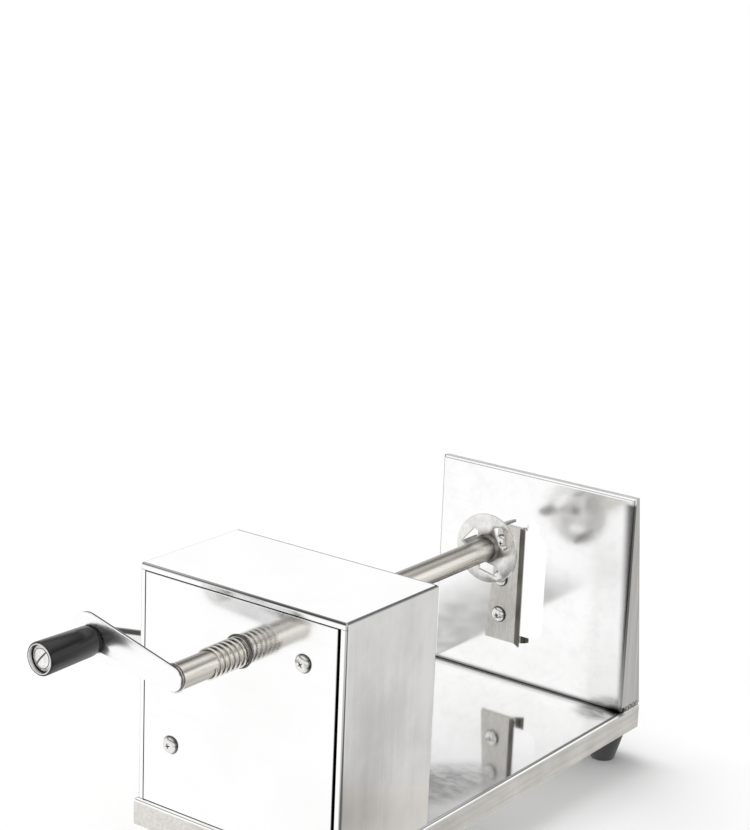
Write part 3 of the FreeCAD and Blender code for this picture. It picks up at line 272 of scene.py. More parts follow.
rays = tree.nodes.new("ShaderNodeLightPath")
camera_or_mirror = tree.nodes.new("ShaderNodeMath")
camera_or_mirror.operation = "MAXIMUM"
tree.links.new(rays.outputs["Is Camera Ray"], camera_or_mirror.inputs[0])
tree.links.new(rays.outputs["Is Glossy Ray"], camera_or_mirror.inputs[1])
choice = tree.nodes.new("ShaderNodeMixShader")
tree.links.new(camera_or_mirror.outputs[0], choice.inputs[0])
tree.links.new(plain_light.outputs[0], choice.inputs[1])
tree.links.new(seen.outputs[0], choice.inputs[2])
tree.links.new(choice.outputs[0], tree.nodes["World Output"].inputs[0])
print("world of plain strength", PLAIN_LIGHT)

# %% [markdown]
# ## The floor
# The floor is a plain pale sheet that keeps the machine's shadow. In the polished steel it also has to be
# the studio's white table on the left and its greyer side on the right, towards the camera. So mirror rays
# see a plain glow on it, whose grey depends on the place. Close beside the tray's left edge it is grey and
# uneven, as the shaded strip of a table is, and the end plate mirrors that strip behind the knife.

# %% The floor
FLOOR_SIZE = 60
STRIP_LEFT, STRIP_RIGHT = (-0.215, -0.15), (-0.072, -0.062)
STRIP_FRONT, STRIP_BACK = (-0.17, -0.11), (0.04, 0.08)
bpy.ops.mesh.primitive_plane_add(size=FLOOR_SIZE, location=(0, 0, 0))
floor = bpy.context.object
floor.name = "floor"
studio = Finish("studio floor", Base_Color=grey(0.93), Roughness=0.9, Specular_IOR_Level=0.0)
across, along, _ = studio.axes()
right_side = studio.ramp(across, tray_high.x - 0.02, tray_high.x + 0.02)
viewer_side = studio.ramp(across, 0.10, 0.17) * (1 - studio.ramp(along, -0.05, 0.03))
viewer_side = viewer_side * studio.ramp(along, -0.32, -0.24)
mirrored = studio.mix(right_side, grey(1.0), grey(0.70, 0.01))
mirrored = studio.mix(viewer_side, mirrored, grey(0.16, 0.03))
beside_tray = studio.ramp(across, *STRIP_LEFT) * (1 - studio.ramp(across, *STRIP_RIGHT))
beside_tray = beside_tray * studio.ramp(along, *STRIP_FRONT) * (1 - studio.ramp(along, *STRIP_BACK))
uneven = studio.ramp(studio.noise(70, detail=6, roughness=0.7), 0.3, 0.65)
mirrored = studio.mix(beside_tray * (0.35 + uneven * 0.6), mirrored, grey(0.38, 0.01))
reflected = studio.node("Emission", {}, Color=mirrored, Strength=1.0)
mirror_ray = studio.node("LightPath", {}, out="Is Glossy Ray")
shown = studio.node("MixShader", {}, mirror_ray, Value(studio, studio.shader.outputs[0]), reflected)
studio.tree.links.new(shown.socket, studio.tree.nodes["Material Output"].inputs["Surface"])
studio.material.cycles.emission_sampling = "NONE"
floor.data.materials.append(studio.material)

# %% The lamp
LAMP_STRENGTH = 1.8
LAMP_WIDTH = math.radians(50)
LAMP_DIRECTION = Vector((0.55, -0.15, -1))
lamp_data = bpy.data.lights.new("window", "SUN")
lamp_data.energy = LAMP_STRENGTH
lamp_data.angle = LAMP_WIDTH
lamp = bpy.data.objects.new("window", lamp_data)
bpy.context.scene.collection.objects.link(lamp)
lamp.matrix_world = LAMP_DIRECTION.to_track_quat("-Z", "Y").to_matrix().to_4x4()
lamp.visible_glossy = False
print("one wide, far lamp from the upper left")

# %% [markdown]
# ## Polished sheet
# The tray, housing, front panel and end plate are mirror-polished stainless sheet. A perfect mirror looks
# false, because rolled sheet is never flat: a long shallow waviness bends its reflections, and polishing
# leaves faint lines that run along the sheet. Both go into the bump and roughness, at the real scale.

# %% The start of every polished sheet
def sheet_finish(name, lines, gloss):
    """Mirror-polished sheet. Lines is the stretch of its faint polishing lines, gloss its least roughness."""
    finish = Finish(name, Metallic=1.0)
    smears = finish.noise(14, detail=4, roughness=0.55)
    polishing = finish.noise(260, stretch=lines, detail=5, roughness=0.65)
    finish.colour = finish.mix(finish.ramp(smears, 0.4, 0.8), grey(1.0), grey(0.96, 0.005))
    finish.roughness = gloss + smears * 0.04 + polishing * 0.03
    finish.height = finish.noise(9, detail=1) + polishing * 0.02
    finish.stain_or_shade(finish.ramp(polishing, 0.55, 0.85) * 0.2, grey(0.8, 0.02))
    return finish


def paint(material, *names):
    """Give CAD nodes a finish in place of their plain one."""
    for name in names:
        slots = nodes[name].data.materials
        slots.clear()
        slots.append(material)


# %% [markdown]
# ## The tray
# The tray's top is the sharpest mirror of the machine. Beside the housing it carries a painted reflection of
# the housing and in the corner by the end plate painted shade, both broken up by scuffs, with more painted
# shade along the plate's foot. Its skirts were brushed lengthways after bending. Each of these marks is a
# mask from the place
# on the machine: an ellipsoid for a cloud, a ramp on one axis for an edge.

# %% The tray's finish
tray = sheet_finish("tray sheet", (1, 0.02, 1), 0.03)
x, y, z = tray.axes()
brushing = tray.noise(420, stretch=(1, 0.03, 1), detail=6, roughness=0.7)
cloudy = tray.noise(45, detail=4, roughness=0.6)
skirt = tray.ramp(tray_high.z - z, 1.4 * MM, 2.2 * MM)
tray.stain_or_shade(skirt, tray.mix(tray.ramp(brushing * 0.6 + cloudy * 0.4, 0.35, 0.65), grey(0.60, 0.06),
                           grey(0.80, 0.05)), 0.22)
scuffs = tray.ramp(tray.noise(130, stretch=(0.6, 1, 1), detail=6, roughness=0.7), 0.34, 0.66)
# Painted reflection of the housing on the tray's top, broken up by scuffs.
housing_reflection = tray.blob((0.044, -0.028, tray_high.z), (0.030, 0.050, 0.01), (0, 0, -0.25), 0.35)
tray.stain_or_shade(housing_reflection * (1 - skirt) * (0.45 + scuffs * 0.4), grey(0.34, 0.01), 0.12)
# Painted shade in the tray's corner by the end plate, broken up by scuffs.
corner_shade = tray.blob((0.057, 0.121, tray_high.z), (0.019, 0.018, 0.01), core=0.2)
tray.stain_or_shade(corner_shade * (1 - skirt) * (0.4 + scuffs * 0.5), grey(0.25, 0.02), 0.15)
# Painted shade on the tray along the end plate's foot.
plate_foot_shade = tray.ramp(y, plate_low.y - 4.0 * MM, plate_low.y + 0.6 * MM)
tray.stain_or_shade(plate_foot_shade * (1 - skirt) * 0.5, grey(0.30, 0.04), 0.1)
# A dark spot of painted shade where the plate's right-hand flange meets the tray.
junction_shade = tray.blob((plate_high.x - 3 * MM, plate_low.y, tray_high.z), (0.010, 0.006, 0.006), core=0.3)
tray.stain_or_shade(junction_shade * (1 - skirt) * 0.85, grey(0.07, 0.02), 0.1)
paint(tray.finished(0.00003), "base_tray")
print("tray painted")

# %% [markdown]
# ## The end plate
# The end plate's front is polished too. Its upper right is a little duller, so the disc in front of it
# leaves only a blurred reflection there, and the rest mirrors the tray and the table beside it. Its
# right-hand and left-hand bends and the bend above the tray carry painted shade, darkest in the corner by the
# tray.

# %% The end plate's finish
plate = sheet_finish("end plate sheet", (0.02, 1, 1), 0.05)
x, y, z = plate.axes()
smudges = plate.ramp(plate.noise(90, detail=6, roughness=0.65), 0.42, 0.70)
plate.stain_or_shade(smudges * 0.12, grey(0.6, 0.01), 0.05)
behind_disc = plate.ramp(z + x * 0.45, 0.105, 0.155)
plate.roughness = plate.roughness + behind_disc * 0.07
polished = plate.ramp(plate_low.y + 2.6 * MM - y, 0.0, 0.6 * MM)
bend_width = 3.2 * MM + (z - tray_high.z) * 0.035
below_corner = 1 - plate.ramp(z, plate_high.z - 5 * MM, plate_high.z - 2.5 * MM)
bend_shade = plate.ramp(x + bend_width, plate_high.x - MM, plate_high.x + 5.5 * MM)
bend_shade = bend_shade * polished * below_corner
# Painted shade along the right-hand bend.
plate.stain_or_shade(bend_shade * 0.95, grey(0.12, 0.02))
# Painted shade along the left-hand bend.
plate.stain_or_shade(1 - plate.ramp(x, plate_low.x + 0.7 * MM, plate_low.x + 1.7 * MM), grey(0.22, 0.02))
# Painted shade in the bend above the tray.
tray_junction_shade = 1 - plate.ramp(z, tray_high.z + 0.6 * MM, tray_high.z + 4.4 * MM)
plate.stain_or_shade(tray_junction_shade * 0.5, grey(0.15, 0.05), 0.1)
# A dark spot of painted shade in the corner where the right-hand flange meets the tray.
corner = plate.blob((plate_high.x - 3 * MM, plate_low.y, tray_high.z), (0.009, 0.006, 0.006), core=0.3)
plate.stain_or_shade(corner * 0.85, grey(0.06, 0.02), 0.1)
flange_grain = plate.noise(300, stretch=(1, 1, 0.04), detail=5, roughness=0.7)
plate.stain_or_shade(plate.ramp(y, plate_low.y + 1.6 * MM, plate_low.y + 2.4 * MM),
            plate.mix(plate.ramp(flange_grain, 0.35, 0.65), grey(0.54, 0.03), grey(0.64, 0.02)), 0.12)
paint(plate.finished(0.00003), "end_plate")
print("end plate painted")

# %% [markdown]
# ## The housing
# The cover's sides were brushed upright by a belt, in bands of different strength that get darker towards the
# front, and stay paler near the tray. Its lips and its top are polished like the front panel. Its bends and
# far edges carry dark lines of painted shade, and the cut edges round the panel are painted dark as shade in
# the gaps. On the panel a grey smear of painted reflection runs along the top edge, over the place where the
# thread is mirrored.

# %% The housing's finishes
COVER_BEND = 1.5 * MM
COVER_LIP = 3.6 * MM
PANEL_GAP = 0.2 * MM
WINDOW = PANEL_GAP - panel_low.x
cover = sheet_finish("cover sheet", (1, 1, 0.02), 0.05)
x, y, z = cover.axes()
belt = cover.noise(60, stretch=(1, 1, 0.10), detail=6, roughness=0.6)
mottle = cover.noise(38, detail=5, roughness=0.6)
hairs = cover.noise(700, stretch=(1, 1, 0.02), detail=4, roughness=0.7)
side = cover.ramp(abs(x), cover_high.x - 1.2 * MM, cover_high.x - 0.3 * MM) * cover.ramp(
    y, cover_low.y + 1.2 * MM, cover_low.y + 2.5 * MM)
# The belt bands are made darker towards the front.
front_darkening = cover.blob((0, cover_low.y + 30 * MM, 0.096), (0.2, 0.034, 0.062), core=0.1)
bands = cover.ramp(belt * 0.45 + mottle * 0.4 + hairs * 0.15 - front_darkening * 0.2, 0.22, 0.62)
cover.stain_or_shade(side, cover.mix(bands, grey(0.72, 0.01), grey(0.97, 0.01)), 0.2)
paler = 1 - cover.ramp(z + (y - cover_low.y) * 0.3, 0.078, 0.0815)
cover.stain_or_shade(side * paler * 0.7, cover.mix(bands, grey(0.80, 0.08), grey(0.98, 0.06)))
from_side, from_front, from_top = cover_high.x - abs(x), y - cover_low.y, cover_high.z - z


def bend_line(first, second):
    """1 in the middle of a bend, from the distances to the two faces that it joins."""
    return 1 - cover.ramp(first + second, COVER_BEND * 0.60, COVER_BEND * 0.95)


# Painted reflections: dark lines along the bends, heavier towards the right on the front top bend.
cover.stain_or_shade(bend_line(from_front, from_top) * (0.6 + cover.ramp(x, -0.06, 0.03) * 0.35), grey(0.04))
cover.stain_or_shade(bend_line(from_side, from_top) * 0.8, grey(0.14))
cover.stain_or_shade(bend_line(from_side, from_front) * 0.4, grey(0.30))
# Painted shade along the far edges of the top.
far_edge_shade = cover.ramp(y, cover_high.y - 1.4 * MM, cover_high.y - 0.8 * MM)
far_edge_shade = far_edge_shade + (1 - cover.ramp(x, cover_low.x + 1.1 * MM, cover_low.x + 1.7 * MM)) * (1 - far_edge_shade)
cover.stain_or_shade(far_edge_shade * (1 - cover.ramp(from_top, 0.3 * MM, 0.7 * MM)) * 0.85, grey(0.22))
in_lip = 1 - cover.ramp(from_front, 1.25 * MM, 1.45 * MM)
below_lip = cover.ramp(from_top, COVER_LIP, COVER_LIP + 0.2 * MM)
# Painted shade in the gap round the panel: the cut edges of the lips are painted nearly black.
gap_shade_side = (1 - cover.ramp(abs(x), WINDOW, WINDOW + 0.2 * MM)) * below_lip
cover.stain_or_shade(gap_shade_side * in_lip, grey(0.02))
gap_shade_top = 1 - cover.ramp(abs(from_top - COVER_LIP), 0.03 * MM, 0.2 * MM)
cover.stain_or_shade(gap_shade_top * in_lip, grey(0.02))
paint(cover.finished(0.00003), "housing_cover")

panel = sheet_finish("panel sheet", (0.02, 1, 1), 0.08)
x, y, z = panel.axes()
haze = panel.ramp(panel.noise(120, detail=6, roughness=0.7), 0.3, 0.6)
# Painted reflection: a grey smear along the panel's top edge.
top_edge_reflection = panel.blob((0.032, panel_low.y, panel_high.z - 1.2 * MM), (0.022, 0.01, 0.0036), core=0.1)
panel.stain_or_shade(top_edge_reflection * (0.3 + haze * 0.5), grey(0.30, 0.01), 0.1)
panel.shade_under_heads(panel_screw_places)
# Painted shade on the panel's cut edges, in the gap behind the lips.
panel.stain_or_shade(panel.ramp(y, panel_low.y + 0.5 * MM, panel_low.y + 1.1 * MM), grey(0.03), 0.2)
paint(panel.finished(0.00002), "front_panel")
paint(sheet_finish("rear sheet", (0.02, 1, 1), 0.12).finished(0.00002), "rear_panel")
print("cover and panel painted")

# %% [markdown]
# ## Shaft, thread, disc and knife
# These are not polished sheet. The tube is drawn, with fine lines along it, with dark bands of painted
# reflection above and below, and its welded end is darkened by a heat tint and by painted shade beside the
# disc. The disc is
# punched from bright sheet and scratched by use, and its bent-up prongs carry painted shade. The knife is
# ground:
# its flat is pale and warm, and its bent strip is nearly dark. One function gives the brushed start, and
# stains and painted shade make the differences.

# %% The start of every brushed finish
def brushed_finish(name, level, lines, warmth=0.03, roughness=0.2, scale=420, contrast=0.22):
    """Brushed or drawn steel. Lines is the stretch of its grain."""
    finish = Finish(name, Metallic=1.0)
    grain = finish.noise(scale, stretch=lines, detail=6, roughness=0.7)
    cloud = finish.noise(30, detail=3)
    finish.colour = finish.mix(finish.ramp(grain, 0.3, 0.7), grey(level * (1 - contrast), warmth),
                           grey(level, warmth))
    finish.roughness = roughness + cloud * 0.08 + grain * 0.06
    finish.height = grain
    return finish


# %% The shaft and its thread
tube = brushed_finish("drawn tube", 0.94, (1, 0.03, 1), 0.08, 0.20, contrast=0.08)
x, y, z = tube.axes()
off_axis = z - shaft_axis.z
# Painted reflections: a dark band along the tube's top and another along its underside.
tube.stain_or_shade(tube.ramp(off_axis - x * 0.3, 4.6 * MM, 6.8 * MM) * 0.85, grey(0.22, 0.16))
tube.stain_or_shade((1 - tube.ramp(off_axis, -5.4 * MM, 1.0 * MM)) * 0.85, grey(0.16, 0.10))
# A heat tint from welding and painted shade darken the tube's end beside the disc.
heat_tint_and_shade = tube.ramp(y, disc_low.y - 13 * MM, disc_low.y - 2 * MM)
tube.stain_or_shade(heat_tint_and_shade * 0.8, grey(0.13, 0.12), 0.1)
paint(tube.finished(0.000004), "shaft_tube", "disc_weld")

wire = brushed_finish("thread wire", 0.85, (1, 1, 1), 0.04, 0.12)
paint(wire.finished(0.00001), "feed_wire", "lever_spring")

bright = brushed_finish("bright bar", 0.80, (1, 0.05, 1), 0.02, 0.12)
paint(bright.finished(0.00001), "stick_socket", "arm_weld")

ROD_RADIUS = 4 * MM
ROD_TILT = math.radians(9)
rod = brushed_finish("lever rod", 0.90, (0.05, 1, 1), 0.02, 0.14, contrast=0.08)
rod_low = corners("lever_rod")[0]
x, y, z = rod.axes()
off_rod = z - (rod_low.z + ROD_RADIUS) - (x - (rod_low.x + ROD_RADIUS)) * math.tan(ROD_TILT)
# Painted reflections: dark bands along the rod's top and underside.
rod.stain_or_shade(rod.ramp(off_rod, 1.8 * MM, 3.0 * MM) * 0.85, grey(0.08, 0.04))
rod.stain_or_shade((1 - rod.ramp(off_rod, -3.4 * MM, -1.4 * MM)) * 0.8, grey(0.12, 0.04))
paint(rod.finished(0.00001), "lever_rod")
print("shaft and thread painted")

# %% The disc
disc = brushed_finish("punched disc", 0.92, (1, 1, 1), 0.02, 0.16, 160)
x, y, z = disc.axes()
scratches = disc.noise(240, stretch=(1, 1, 0.15), detail=7, roughness=0.8)
disc.stain_or_shade(disc.ramp(scratches, 0.54, 0.66) * 0.5, grey(0.55, 0.03), 0.1)
ring = disc.blob((0, disc_low.y, shaft_axis.z), (0.0135, 0.0016, 0.0135), core=0.5)
disc.stain_or_shade(ring * 0.85, grey(0.16, 0.12), 0.12)
# Painted shade on the prongs bent up behind the disc.
prong_shade = disc.ramp(y, disc_low.y + 1.7 * MM, disc_low.y + 2.4 * MM)
disc.stain_or_shade(prong_shade * 0.8, grey(0.16, 0.06), 0.1)
disc_metal = disc.finished(0.00002)

# %% The knife
blade = brushed_finish("ground knife", 0.76, (1, 1, 0.3), 0.05, 0.26, 900)
x, y, z = blade.axes()
flat_front = knife_high.y - 1.5 * MM
strip = blade.ramp(flat_front - y, 0.05 * MM, 0.35 * MM)
grinding = blade.noise(500, stretch=(1, 1, 0.1), detail=5)
blade.stain_or_shade(strip, blade.mix(blade.ramp(grinding, 0.35, 0.7), grey(0.085, 0.14), grey(0.15, 0.12)), 0.1)
low_rust = blade.blob((-0.02, knife_low.y, 0.088), (0.012, 0.02, 0.02), core=0.1)
blade.stain_or_shade(low_rust * blade.noise(120, detail=5) * 0.5, grey(0.55, 0.12))
blade.shade_under_heads(knife_screw_places)
paint(blade.finished(0.000004), "knife")

# %% [markdown]
# ## Softened edges
# The punched disc and the strip of the crank arm have edges that are broken by a file. The shapes of the CAD
# model are right but sharp, so a copy of each is merged and cleaned, and a narrow bevel is cut along its
# edges. The copy then stands for the sharp one.

# %% Copy a node and bevel its edges
def ready(name, body, material):
    """Name the active object, give it its finish, and fix it to a body of the machine."""
    piece = bpy.context.object
    piece.name = name
    piece.data.materials.clear()
    piece.data.materials.append(material)
    bpy.ops.object.shade_smooth_by_angle(angle=math.radians(35))
    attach(piece, body)
    return piece


def softened(node, name, width, body, material):
    """A copy of a node with its sharp edges bevelled."""
    bpy.ops.object.select_all(action="DESELECT")
    copy = bpy.data.objects.new(name, nodes[node].data.copy())
    bpy.context.scene.collection.objects.link(copy)
    bpy.context.view_layer.objects.active = copy
    copy.select_set(True)
    bpy.ops.object.mode_set(mode="EDIT")
    bpy.ops.mesh.select_all(action="SELECT")
    bpy.ops.mesh.remove_doubles(threshold=0.001 * MM)
    bpy.ops.mesh.dissolve_limited(angle_limit=math.radians(1))
    bpy.ops.object.mode_set(mode="OBJECT")
    bevel = copy.modifiers.new("broken edges", "BEVEL")
    bevel.width = width
    bevel.segments = 2
    bevel.limit_method = "ANGLE"
    bevel.angle_limit = math.radians(40)
    bpy.ops.object.modifier_apply(modifier=bevel.name)
    piece = ready(name, body, material)
    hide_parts(node)
    print(name, len(piece.data.polygons), "faces")


softened("prong_disc", "punched_disc", 0.2 * MM, "crank_shaft", disc_metal)

arm = sheet_finish("arm sheet", (0.05, 1, 1), 0.20)
x, y, z = arm.axes()
arm_low, arm_high = corners("crank_arm")
# Painted shade: the arm's edges are painted dark, and its back, which the panel mirrors, grey.
arm.stain_or_shade(arm.ramp(y, arm_low.y + 0.4 * MM, arm_low.y + 0.7 * MM), grey(0.16, 0.02))
arm.stain_or_shade(arm.ramp(y, arm_high.y - 0.5 * MM, arm_high.y - 0.2 * MM), grey(0.78))
softened("crank_arm", "filed_arm", 0.3 * MM, "crank_shaft", arm.finished(0.00002))

# %% [markdown]
# ## Turned pieces
# Grip, feet, bush and screws are round, as if made on a lathe. Each starts as a circle, which is extruded
# along its axis and scaled, ring after ring, so that its profile reads as a list of radii and distances. A
# profile that comes back to its first ring makes a hollow piece, and one that ends in a point is closed.

# %% Turn a piece ring by ring
def turned(start, direction, rings, steps=48):
    """Extrude a circle along a profile of (radius, distance) rings, in metres."""
    start, direction = Vector(start), Vector(direction)
    radius, distance = rings[0]
    bpy.ops.object.select_all(action="DESELECT")
    tilt = direction.to_track_quat("Z", "Y").to_euler()
    bpy.ops.mesh.primitive_circle_add(vertices=steps, radius=radius, location=start + direction * distance,
                                      rotation=tilt)
    bpy.ops.object.transform_apply(location=True, rotation=True, scale=True)
    bpy.ops.object.mode_set(mode="EDIT")
    bpy.ops.mesh.select_all(action="SELECT")
    if rings[-1][0] == 0:
        bpy.ops.mesh.edge_face_add()
    for next_radius, next_distance in rings[1:]:
        move = direction * (next_distance - distance)
        bpy.ops.mesh.extrude_region_move(TRANSFORM_OT_translate={"value": move})
        if next_radius == 0:
            bpy.ops.mesh.merge(type="CENTER")
            break
        if next_radius != radius:
            factor = next_radius / radius
            bpy.ops.transform.resize(value=(factor, factor, factor),
                                     center_override=start + direction * next_distance)
        radius, distance = next_radius, next_distance
    bpy.ops.mesh.select_all(action="SELECT")
    bpy.ops.mesh.remove_doubles(threshold=0.001 * MM)
    bpy.ops.mesh.normals_make_consistent(inside=False)
    bpy.ops.object.mode_set(mode="OBJECT")
    return bpy.context.object


def millimetres(*rings):
    return [(radius * MM, distance * MM) for radius, distance in rings]


# %% Plastic and rubber
def moulded_finish(name, level, roughness, warmth=0.0, grain=2200):
    finish = Finish(name)
    cloud = finish.noise(90, detail=3)
    finish.colour = finish.mix(cloud, grey(level * 0.8, warmth), grey(level * 1.2, warmth))
    finish.roughness = roughness + cloud * 0.1
    finish.height = finish.noise(grain, detail=2)
    return finish


# %% The grip
grip_low, grip_high = corners("grip")
grip_centre = Vector(((grip_low.x + grip_high.x) / 2, grip_high.y, (grip_low.z + grip_high.z) / 2))
length = (grip_high.y - grip_low.y) / MM
BORE, RECESS, RECESS_STEP = 3.08, 8.0, 7.4
step_at, floor_at = length - 2.4, length - 2.6
turned(grip_centre, (0, -1, 0), millimetres(
    (BORE, 0), (7.5, 0), (7.95, 0.2), (8.1, 0.7), (8.88, length - 1.2), (8.8, length - 0.4),
    (8.5, length - 0.05), (8.2, length), (RECESS, length), (RECESS, step_at), (RECESS_STEP, step_at),
    (RECESS_STEP, floor_at), (BORE, floor_at), (BORE, 0)), 64)
grip_plastic = moulded_finish("black grip", 0.010, 0.20)
ready("moulded_grip", "grip", grip_plastic.finished(0.000008))
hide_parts("grip")
print("grip", round(length, 1), "mm long")

# %% The ring round the thread
bush_low, bush_high = corners("front_bush")
FLANGE_STEP, FLANGE_AT, BUSH_LENGTH, BUSH_WALL = 3.5, 4.2, 6.9, 0.7
flange = (bush_high.x - bush_low.x) / 2 / MM
barrel = flange - FLANGE_STEP
bore = barrel - BUSH_WALL
turned((0, bush_low.y, shaft_axis.z), (0, 1, 0), millimetres(
    (bore, 0.25), (barrel - 0.5, 0), (barrel - 0.25, 0), (barrel, 0.3), (barrel, FLANGE_AT),
    (flange, FLANGE_AT), (flange, BUSH_LENGTH), (bore, BUSH_LENGTH), (bore, 0.25)), 64)
bush = moulded_finish("front bush", 0.12, 0.3, 0.04)
ready("turned_bush", "frame", bush.finished(0.00001))
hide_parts("front_bush")

# %% The feet
TRAY_SHEET, FOOT_TOP, SCREW_HOLE, SOCKET, SOCKET_DEPTH = 1.2, 12.5, 2.6, 5.2, 13
foot_height = (tray_high.z - TRAY_SHEET * MM) / MM
foot_high = corners("rubber_feet")[1]
foot_radius = FOOT_TOP * MM
rubber = moulded_finish("rubber", 0.035, 0.45, 0.0, 900).finished(0.00003)
for side in (-1, 1):
    for end in (-1, 1):
        foot_place = (side * (foot_high.x - foot_radius), end * (foot_high.y - foot_radius), 0)
        turned(foot_place, (0, 0, 1), millimetres(
            (SOCKET, 0), (6.9, 0), (7.3, 0.2), (7.5, 0.8), (12.2, 17.0), (12.45, 18.2), (FOOT_TOP, 19.5),
            (FOOT_TOP, foot_height - 1.0), (12.2, foot_height - 0.3), (11.6, foot_height),
            (SCREW_HOLE, foot_height), (SCREW_HOLE, SOCKET_DEPTH), (SOCKET, SOCKET_DEPTH), (SOCKET, 0)), 40)
        name = f"foot_{'left' if side < 0 else 'right'}_{'front' if end < 0 else 'back'}"
        foot = ready(name, "frame", rubber)
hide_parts("rubber_feet")
print("4 feet,", round(foot_height, 1), "mm high")

# %% [markdown]
# ## Cross-head screws
# Three screws hold the knife and two the front panel. Each has a domed pan head with a cross punched into
# it. The head and shank are turned, and two crossed, tapered wedges are cut out of the head with a boolean.
# The screws are turned to different angles, as hands leave them. The bolt in the grip's end is made the same
# way, with one long wedge for its slot.

# %% Wedges that punch a head
def wedges(head_point, sizes, narrowing):
    """Wedges of these sizes in millimetres that get narrower as they go into a screw's head."""
    made = []
    for size in sizes:
        bpy.ops.object.select_all(action="DESELECT")
        bpy.ops.mesh.primitive_cube_add(size=1, location=head_point)
        wedge = bpy.context.object
        wedge.scale = [length * MM for length in size]
        bpy.ops.object.transform_apply(location=True, rotation=True, scale=True)
        bpy.ops.object.mode_set(mode="EDIT")
        bpy.ops.mesh.select_all(action="DESELECT")
        bpy.ops.object.mode_set(mode="OBJECT")
        for face in wedge.data.polygons:
            face.select = face.normal.y > 0.9
        bpy.ops.object.mode_set(mode="EDIT")
        bpy.ops.transform.resize(value=(narrowing, 1, narrowing), center_override=head_point)
        bpy.ops.object.mode_set(mode="OBJECT")
        made.append(wedge)
    return made


def punched_screw(name, body, place, rings, cuts, angle, material):
    """A turned screw whose head's underside is at the place. Its shank points along +Y."""
    turned(place, (0, -1, 0), millimetres(*rings))
    head = bpy.context.object
    for wedge in cuts:
        punch = head.modifiers.new("punch", "BOOLEAN")
        punch.object = wedge
        punch.solver = "EXACT"
        bpy.ops.object.select_all(action="DESELECT")
        bpy.context.view_layer.objects.active = head
        head.select_set(True)
        bpy.ops.object.modifier_apply(modifier=punch.name)
        bpy.data.objects.remove(wedge)
    bpy.ops.object.mode_set(mode="EDIT")
    bpy.ops.mesh.select_all(action="SELECT")
    bpy.ops.transform.rotate(value=angle, orient_axis="Y", center_override=place)
    bpy.ops.object.mode_set(mode="OBJECT")
    return ready(name, body, material)


# %% The finish of a screw's head
def head_finish(name, top, underside, recess):
    """Bright zinc, with painted shade round the foot of the head and in the cross recess."""
    finish = brushed_finish(name, 0.92, (1, 1, 1), 0.02, 0.14, 900)
    x, y, z = finish.axes()
    # Painted shade on the head's skirt.
    foot = finish.ramp(y, underside - 1.8 * MM, underside - 0.9 * MM)
    finish.stain_or_shade(foot * 0.85, grey(0.06, 0.05))
    # Painted shade in the cross recess.
    inside = finish.blob(top, (recess, 5 * MM, recess), core=0.8)
    inside = inside * finish.ramp(y, top.y + 0.4 * MM, top.y + 0.8 * MM)
    finish.stain_or_shade(inside * 0.85, grey(0.08, 0.05))
    return finish.finished(0.000004)


# %% Five cross-head screws
CROSS = ((4.2, 2.4, 1.0), (1.0, 2.4, 4.2))
SHANK, SHANK_TIP, RECESS_REACH = 2.5, 1.9, 2.5 * MM
SCREW_RINGS = ((SHANK, 0), (4.5, 0), (4.75, 0.25), (4.62, 0.9), (4.2, 1.6), (3.4, 2.25), (2.2, 2.7),
               (1.0, 2.88), (0, 2.9))


def cross_screw(name, place, reach, angle):
    shank = reach / MM
    top = place - Vector((0, HEAD_HEIGHT, 0))
    rings = ((SHANK_TIP, -shank), (SHANK, -shank + 0.7), *SCREW_RINGS)
    metal = head_finish(name.replace("_", " "), top, place.y, RECESS_REACH)
    return punched_screw(name, "frame", place, rings, wedges(top, CROSS, 0.45), angle, metal)


for i, (place, angle) in enumerate(zip(knife_screw_places, (0.35, 0.9, 0.15))):
    knife_screw = cross_screw(f"knife_screw_{i}", place, knife_screw_reach, angle)
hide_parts("knife_screws")
for i, (place, angle) in enumerate(zip(panel_screw_places, (0.6, 0.2))):
    panel_screw = cross_screw(f"panel_screw_{i}", place, panel_screw_reach, angle)
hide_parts("panel_screws")
print("5 screws")

# %% The grip's slotted bolt
bolt_low, bolt_high = corners("grip_bolt")
bolt_head = (bolt_high.x - bolt_low.x) / 2 / MM
bolt_height = 2.2
SLOT_ANGLE, SLOT_WIDTH = 0.88, 1.1
bolt_place = (grip_centre.x, bolt_low.y + bolt_height * MM, grip_centre.z)
bolt_top = (grip_centre.x, bolt_low.y, grip_centre.z)
bolt_shank = (bolt_high.y - bolt_place[1]) / MM
bolt_rings = ((2.4, -bolt_shank), (3.0, -bolt_shank + 0.7), (3.0, 0), (bolt_head - 0.2, 0),
              (bolt_head - 0.1, 0.1), (bolt_head - 0.5, 0.45), (bolt_head * 0.8, 0.92),
              (bolt_head * 0.58, 1.5), (bolt_head * 0.36, 1.92), (bolt_head * 0.15, 2.15), (0, bolt_height))
slot = wedges(Vector(bolt_top), ((3 * bolt_head, 2.4, SLOT_WIDTH),), 0.8)
bright_bolt = brushed_finish("bright bolt", 0.95, (1, 1, 1), 0.01, 0.16, 500)
x, y, z = bright_bolt.axes()
# Painted shade in the slot.
slot_shade = bright_bolt.ramp(y, bolt_low.y + 1.0 * MM, bolt_low.y + 1.18 * MM) * (1 - bright_bolt.ramp(
    y, bolt_low.y + 1.22 * MM, bolt_low.y + 1.3 * MM))
bright_bolt.stain_or_shade(slot_shade * 0.9, grey(0.08))
punched_screw("slotted_bolt", "crank_shaft", bolt_place, bolt_rings, slot, SLOT_ANGLE,
              bright_bolt.finished(0.000004))
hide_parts("grip_bolt")
print("bolt head of radius", round(bolt_head, 2), "mm")

# %% [markdown]
# ## Weld beads
# Where the end plate's rims stand on the tray's edges, short runs of weld show as dark, lumpy beads. Each
# lump is a small round mesh, flattened against the sheet and pushed in and out with noise, as a puddle of
# metal freezes unevenly.

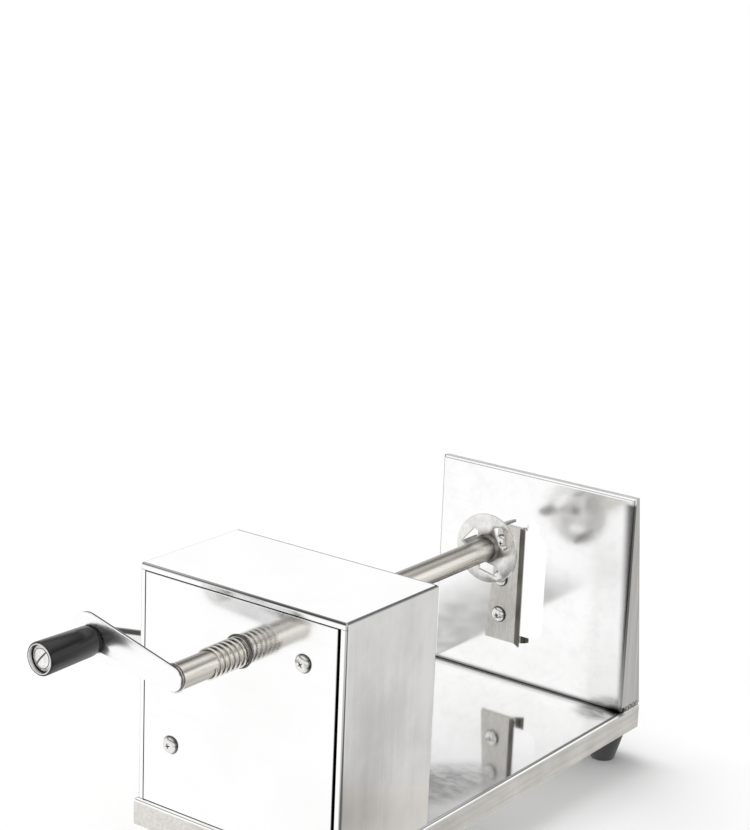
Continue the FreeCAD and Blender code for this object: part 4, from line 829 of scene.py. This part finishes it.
# %% Lumps of weld
weld_low, weld_high = corners("weld_beads")
weld = brushed_finish("weld", 0.50, (1, 1, 0.25), 0.06, 0.3, 500)
burns = weld.noise(420, stretch=(1, 1, 0.25), detail=2)
weld.stain_or_shade(weld.ramp(burns, 0.46, 0.56), grey(0.06, 0.08))
weld_metal = weld.finished(0.00006)
LUMPS = 5
LUMP_SHAPE = (0.75, 1.5, 1.8)
UNEVENNESS = 0.25
for side in (-1, 1):
    for i in range(LUMPS):
        share = (i + 0.5) / LUMPS
        lump_place = Vector((side * (weld_high.x - 0.7 * MM), weld_low.y + share * (weld_high.y - weld_low.y),
                             tray_high.z + 0.5 * MM))
        bpy.ops.object.select_all(action="DESELECT")
        bpy.ops.mesh.primitive_ico_sphere_add(subdivisions=3, radius=MM, location=lump_place)
        lump = bpy.context.object
        lump.scale = LUMP_SHAPE
        bpy.ops.object.transform_apply(location=True, rotation=True, scale=True)
        for vertex in lump.data.vertices:
            outward = (vertex.co - lump_place).normalized()
            vertex.co += outward * noise.noise(vertex.co / MM) * UNEVENNESS * MM
            vertex.co.x = max(tray_low.x, min(tray_high.x, vertex.co.x))
        ready(f"weld_{'left' if side < 0 else 'right'}_{i}", "frame", weld_metal)
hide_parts("weld_beads")
print(2 * LUMPS, "lumps of weld")

# %% [markdown]
# ## The rest
# The inner sheet parts keep the grey of mill-finished steel, and the nuts, bolts and washers are zinc-plated,
# except the grip's washer, which is painted dark as painted shade at the grip's end.
# Their shapes are right in the CAD model, so they only get a finish.

# %% Inner parts and fasteners
zinc_metal = brushed_finish("bright zinc", 0.80, (1, 1, 1), 0.03, 0.16, 900).finished(0.000005)
# The grip's washer is painted dark as painted shade at the grip's end.
shaded_washer = brushed_finish("dark washer", 0.06, (1, 1, 1), 0.02, 0.4).finished(0.000005)
inner = brushed_finish("mill sheet", 0.50, (1, 0.1, 1), 0.03, 0.3)
paint(inner.finished(0.00002), "mechanism_bracket", "lever_plate", "lever_hub", "spring_pin",
      "spring_cup", "guide_sleeve")
paint(zinc_metal, "foot_screws", "foot_nuts", "tray_bolts", "tray_nuts", "knife_nuts", "panel_nuts",
      "grip_nut", "pivot_pin", "pin_clip", "sleeve_ring", "grip_ring")
paint(shaded_washer, "grip_washer")
paint(moulded_finish("nylon", 0.75, 0.45, 0.05).finished(0.00002), "rear_bush")
print("fasteners painted")
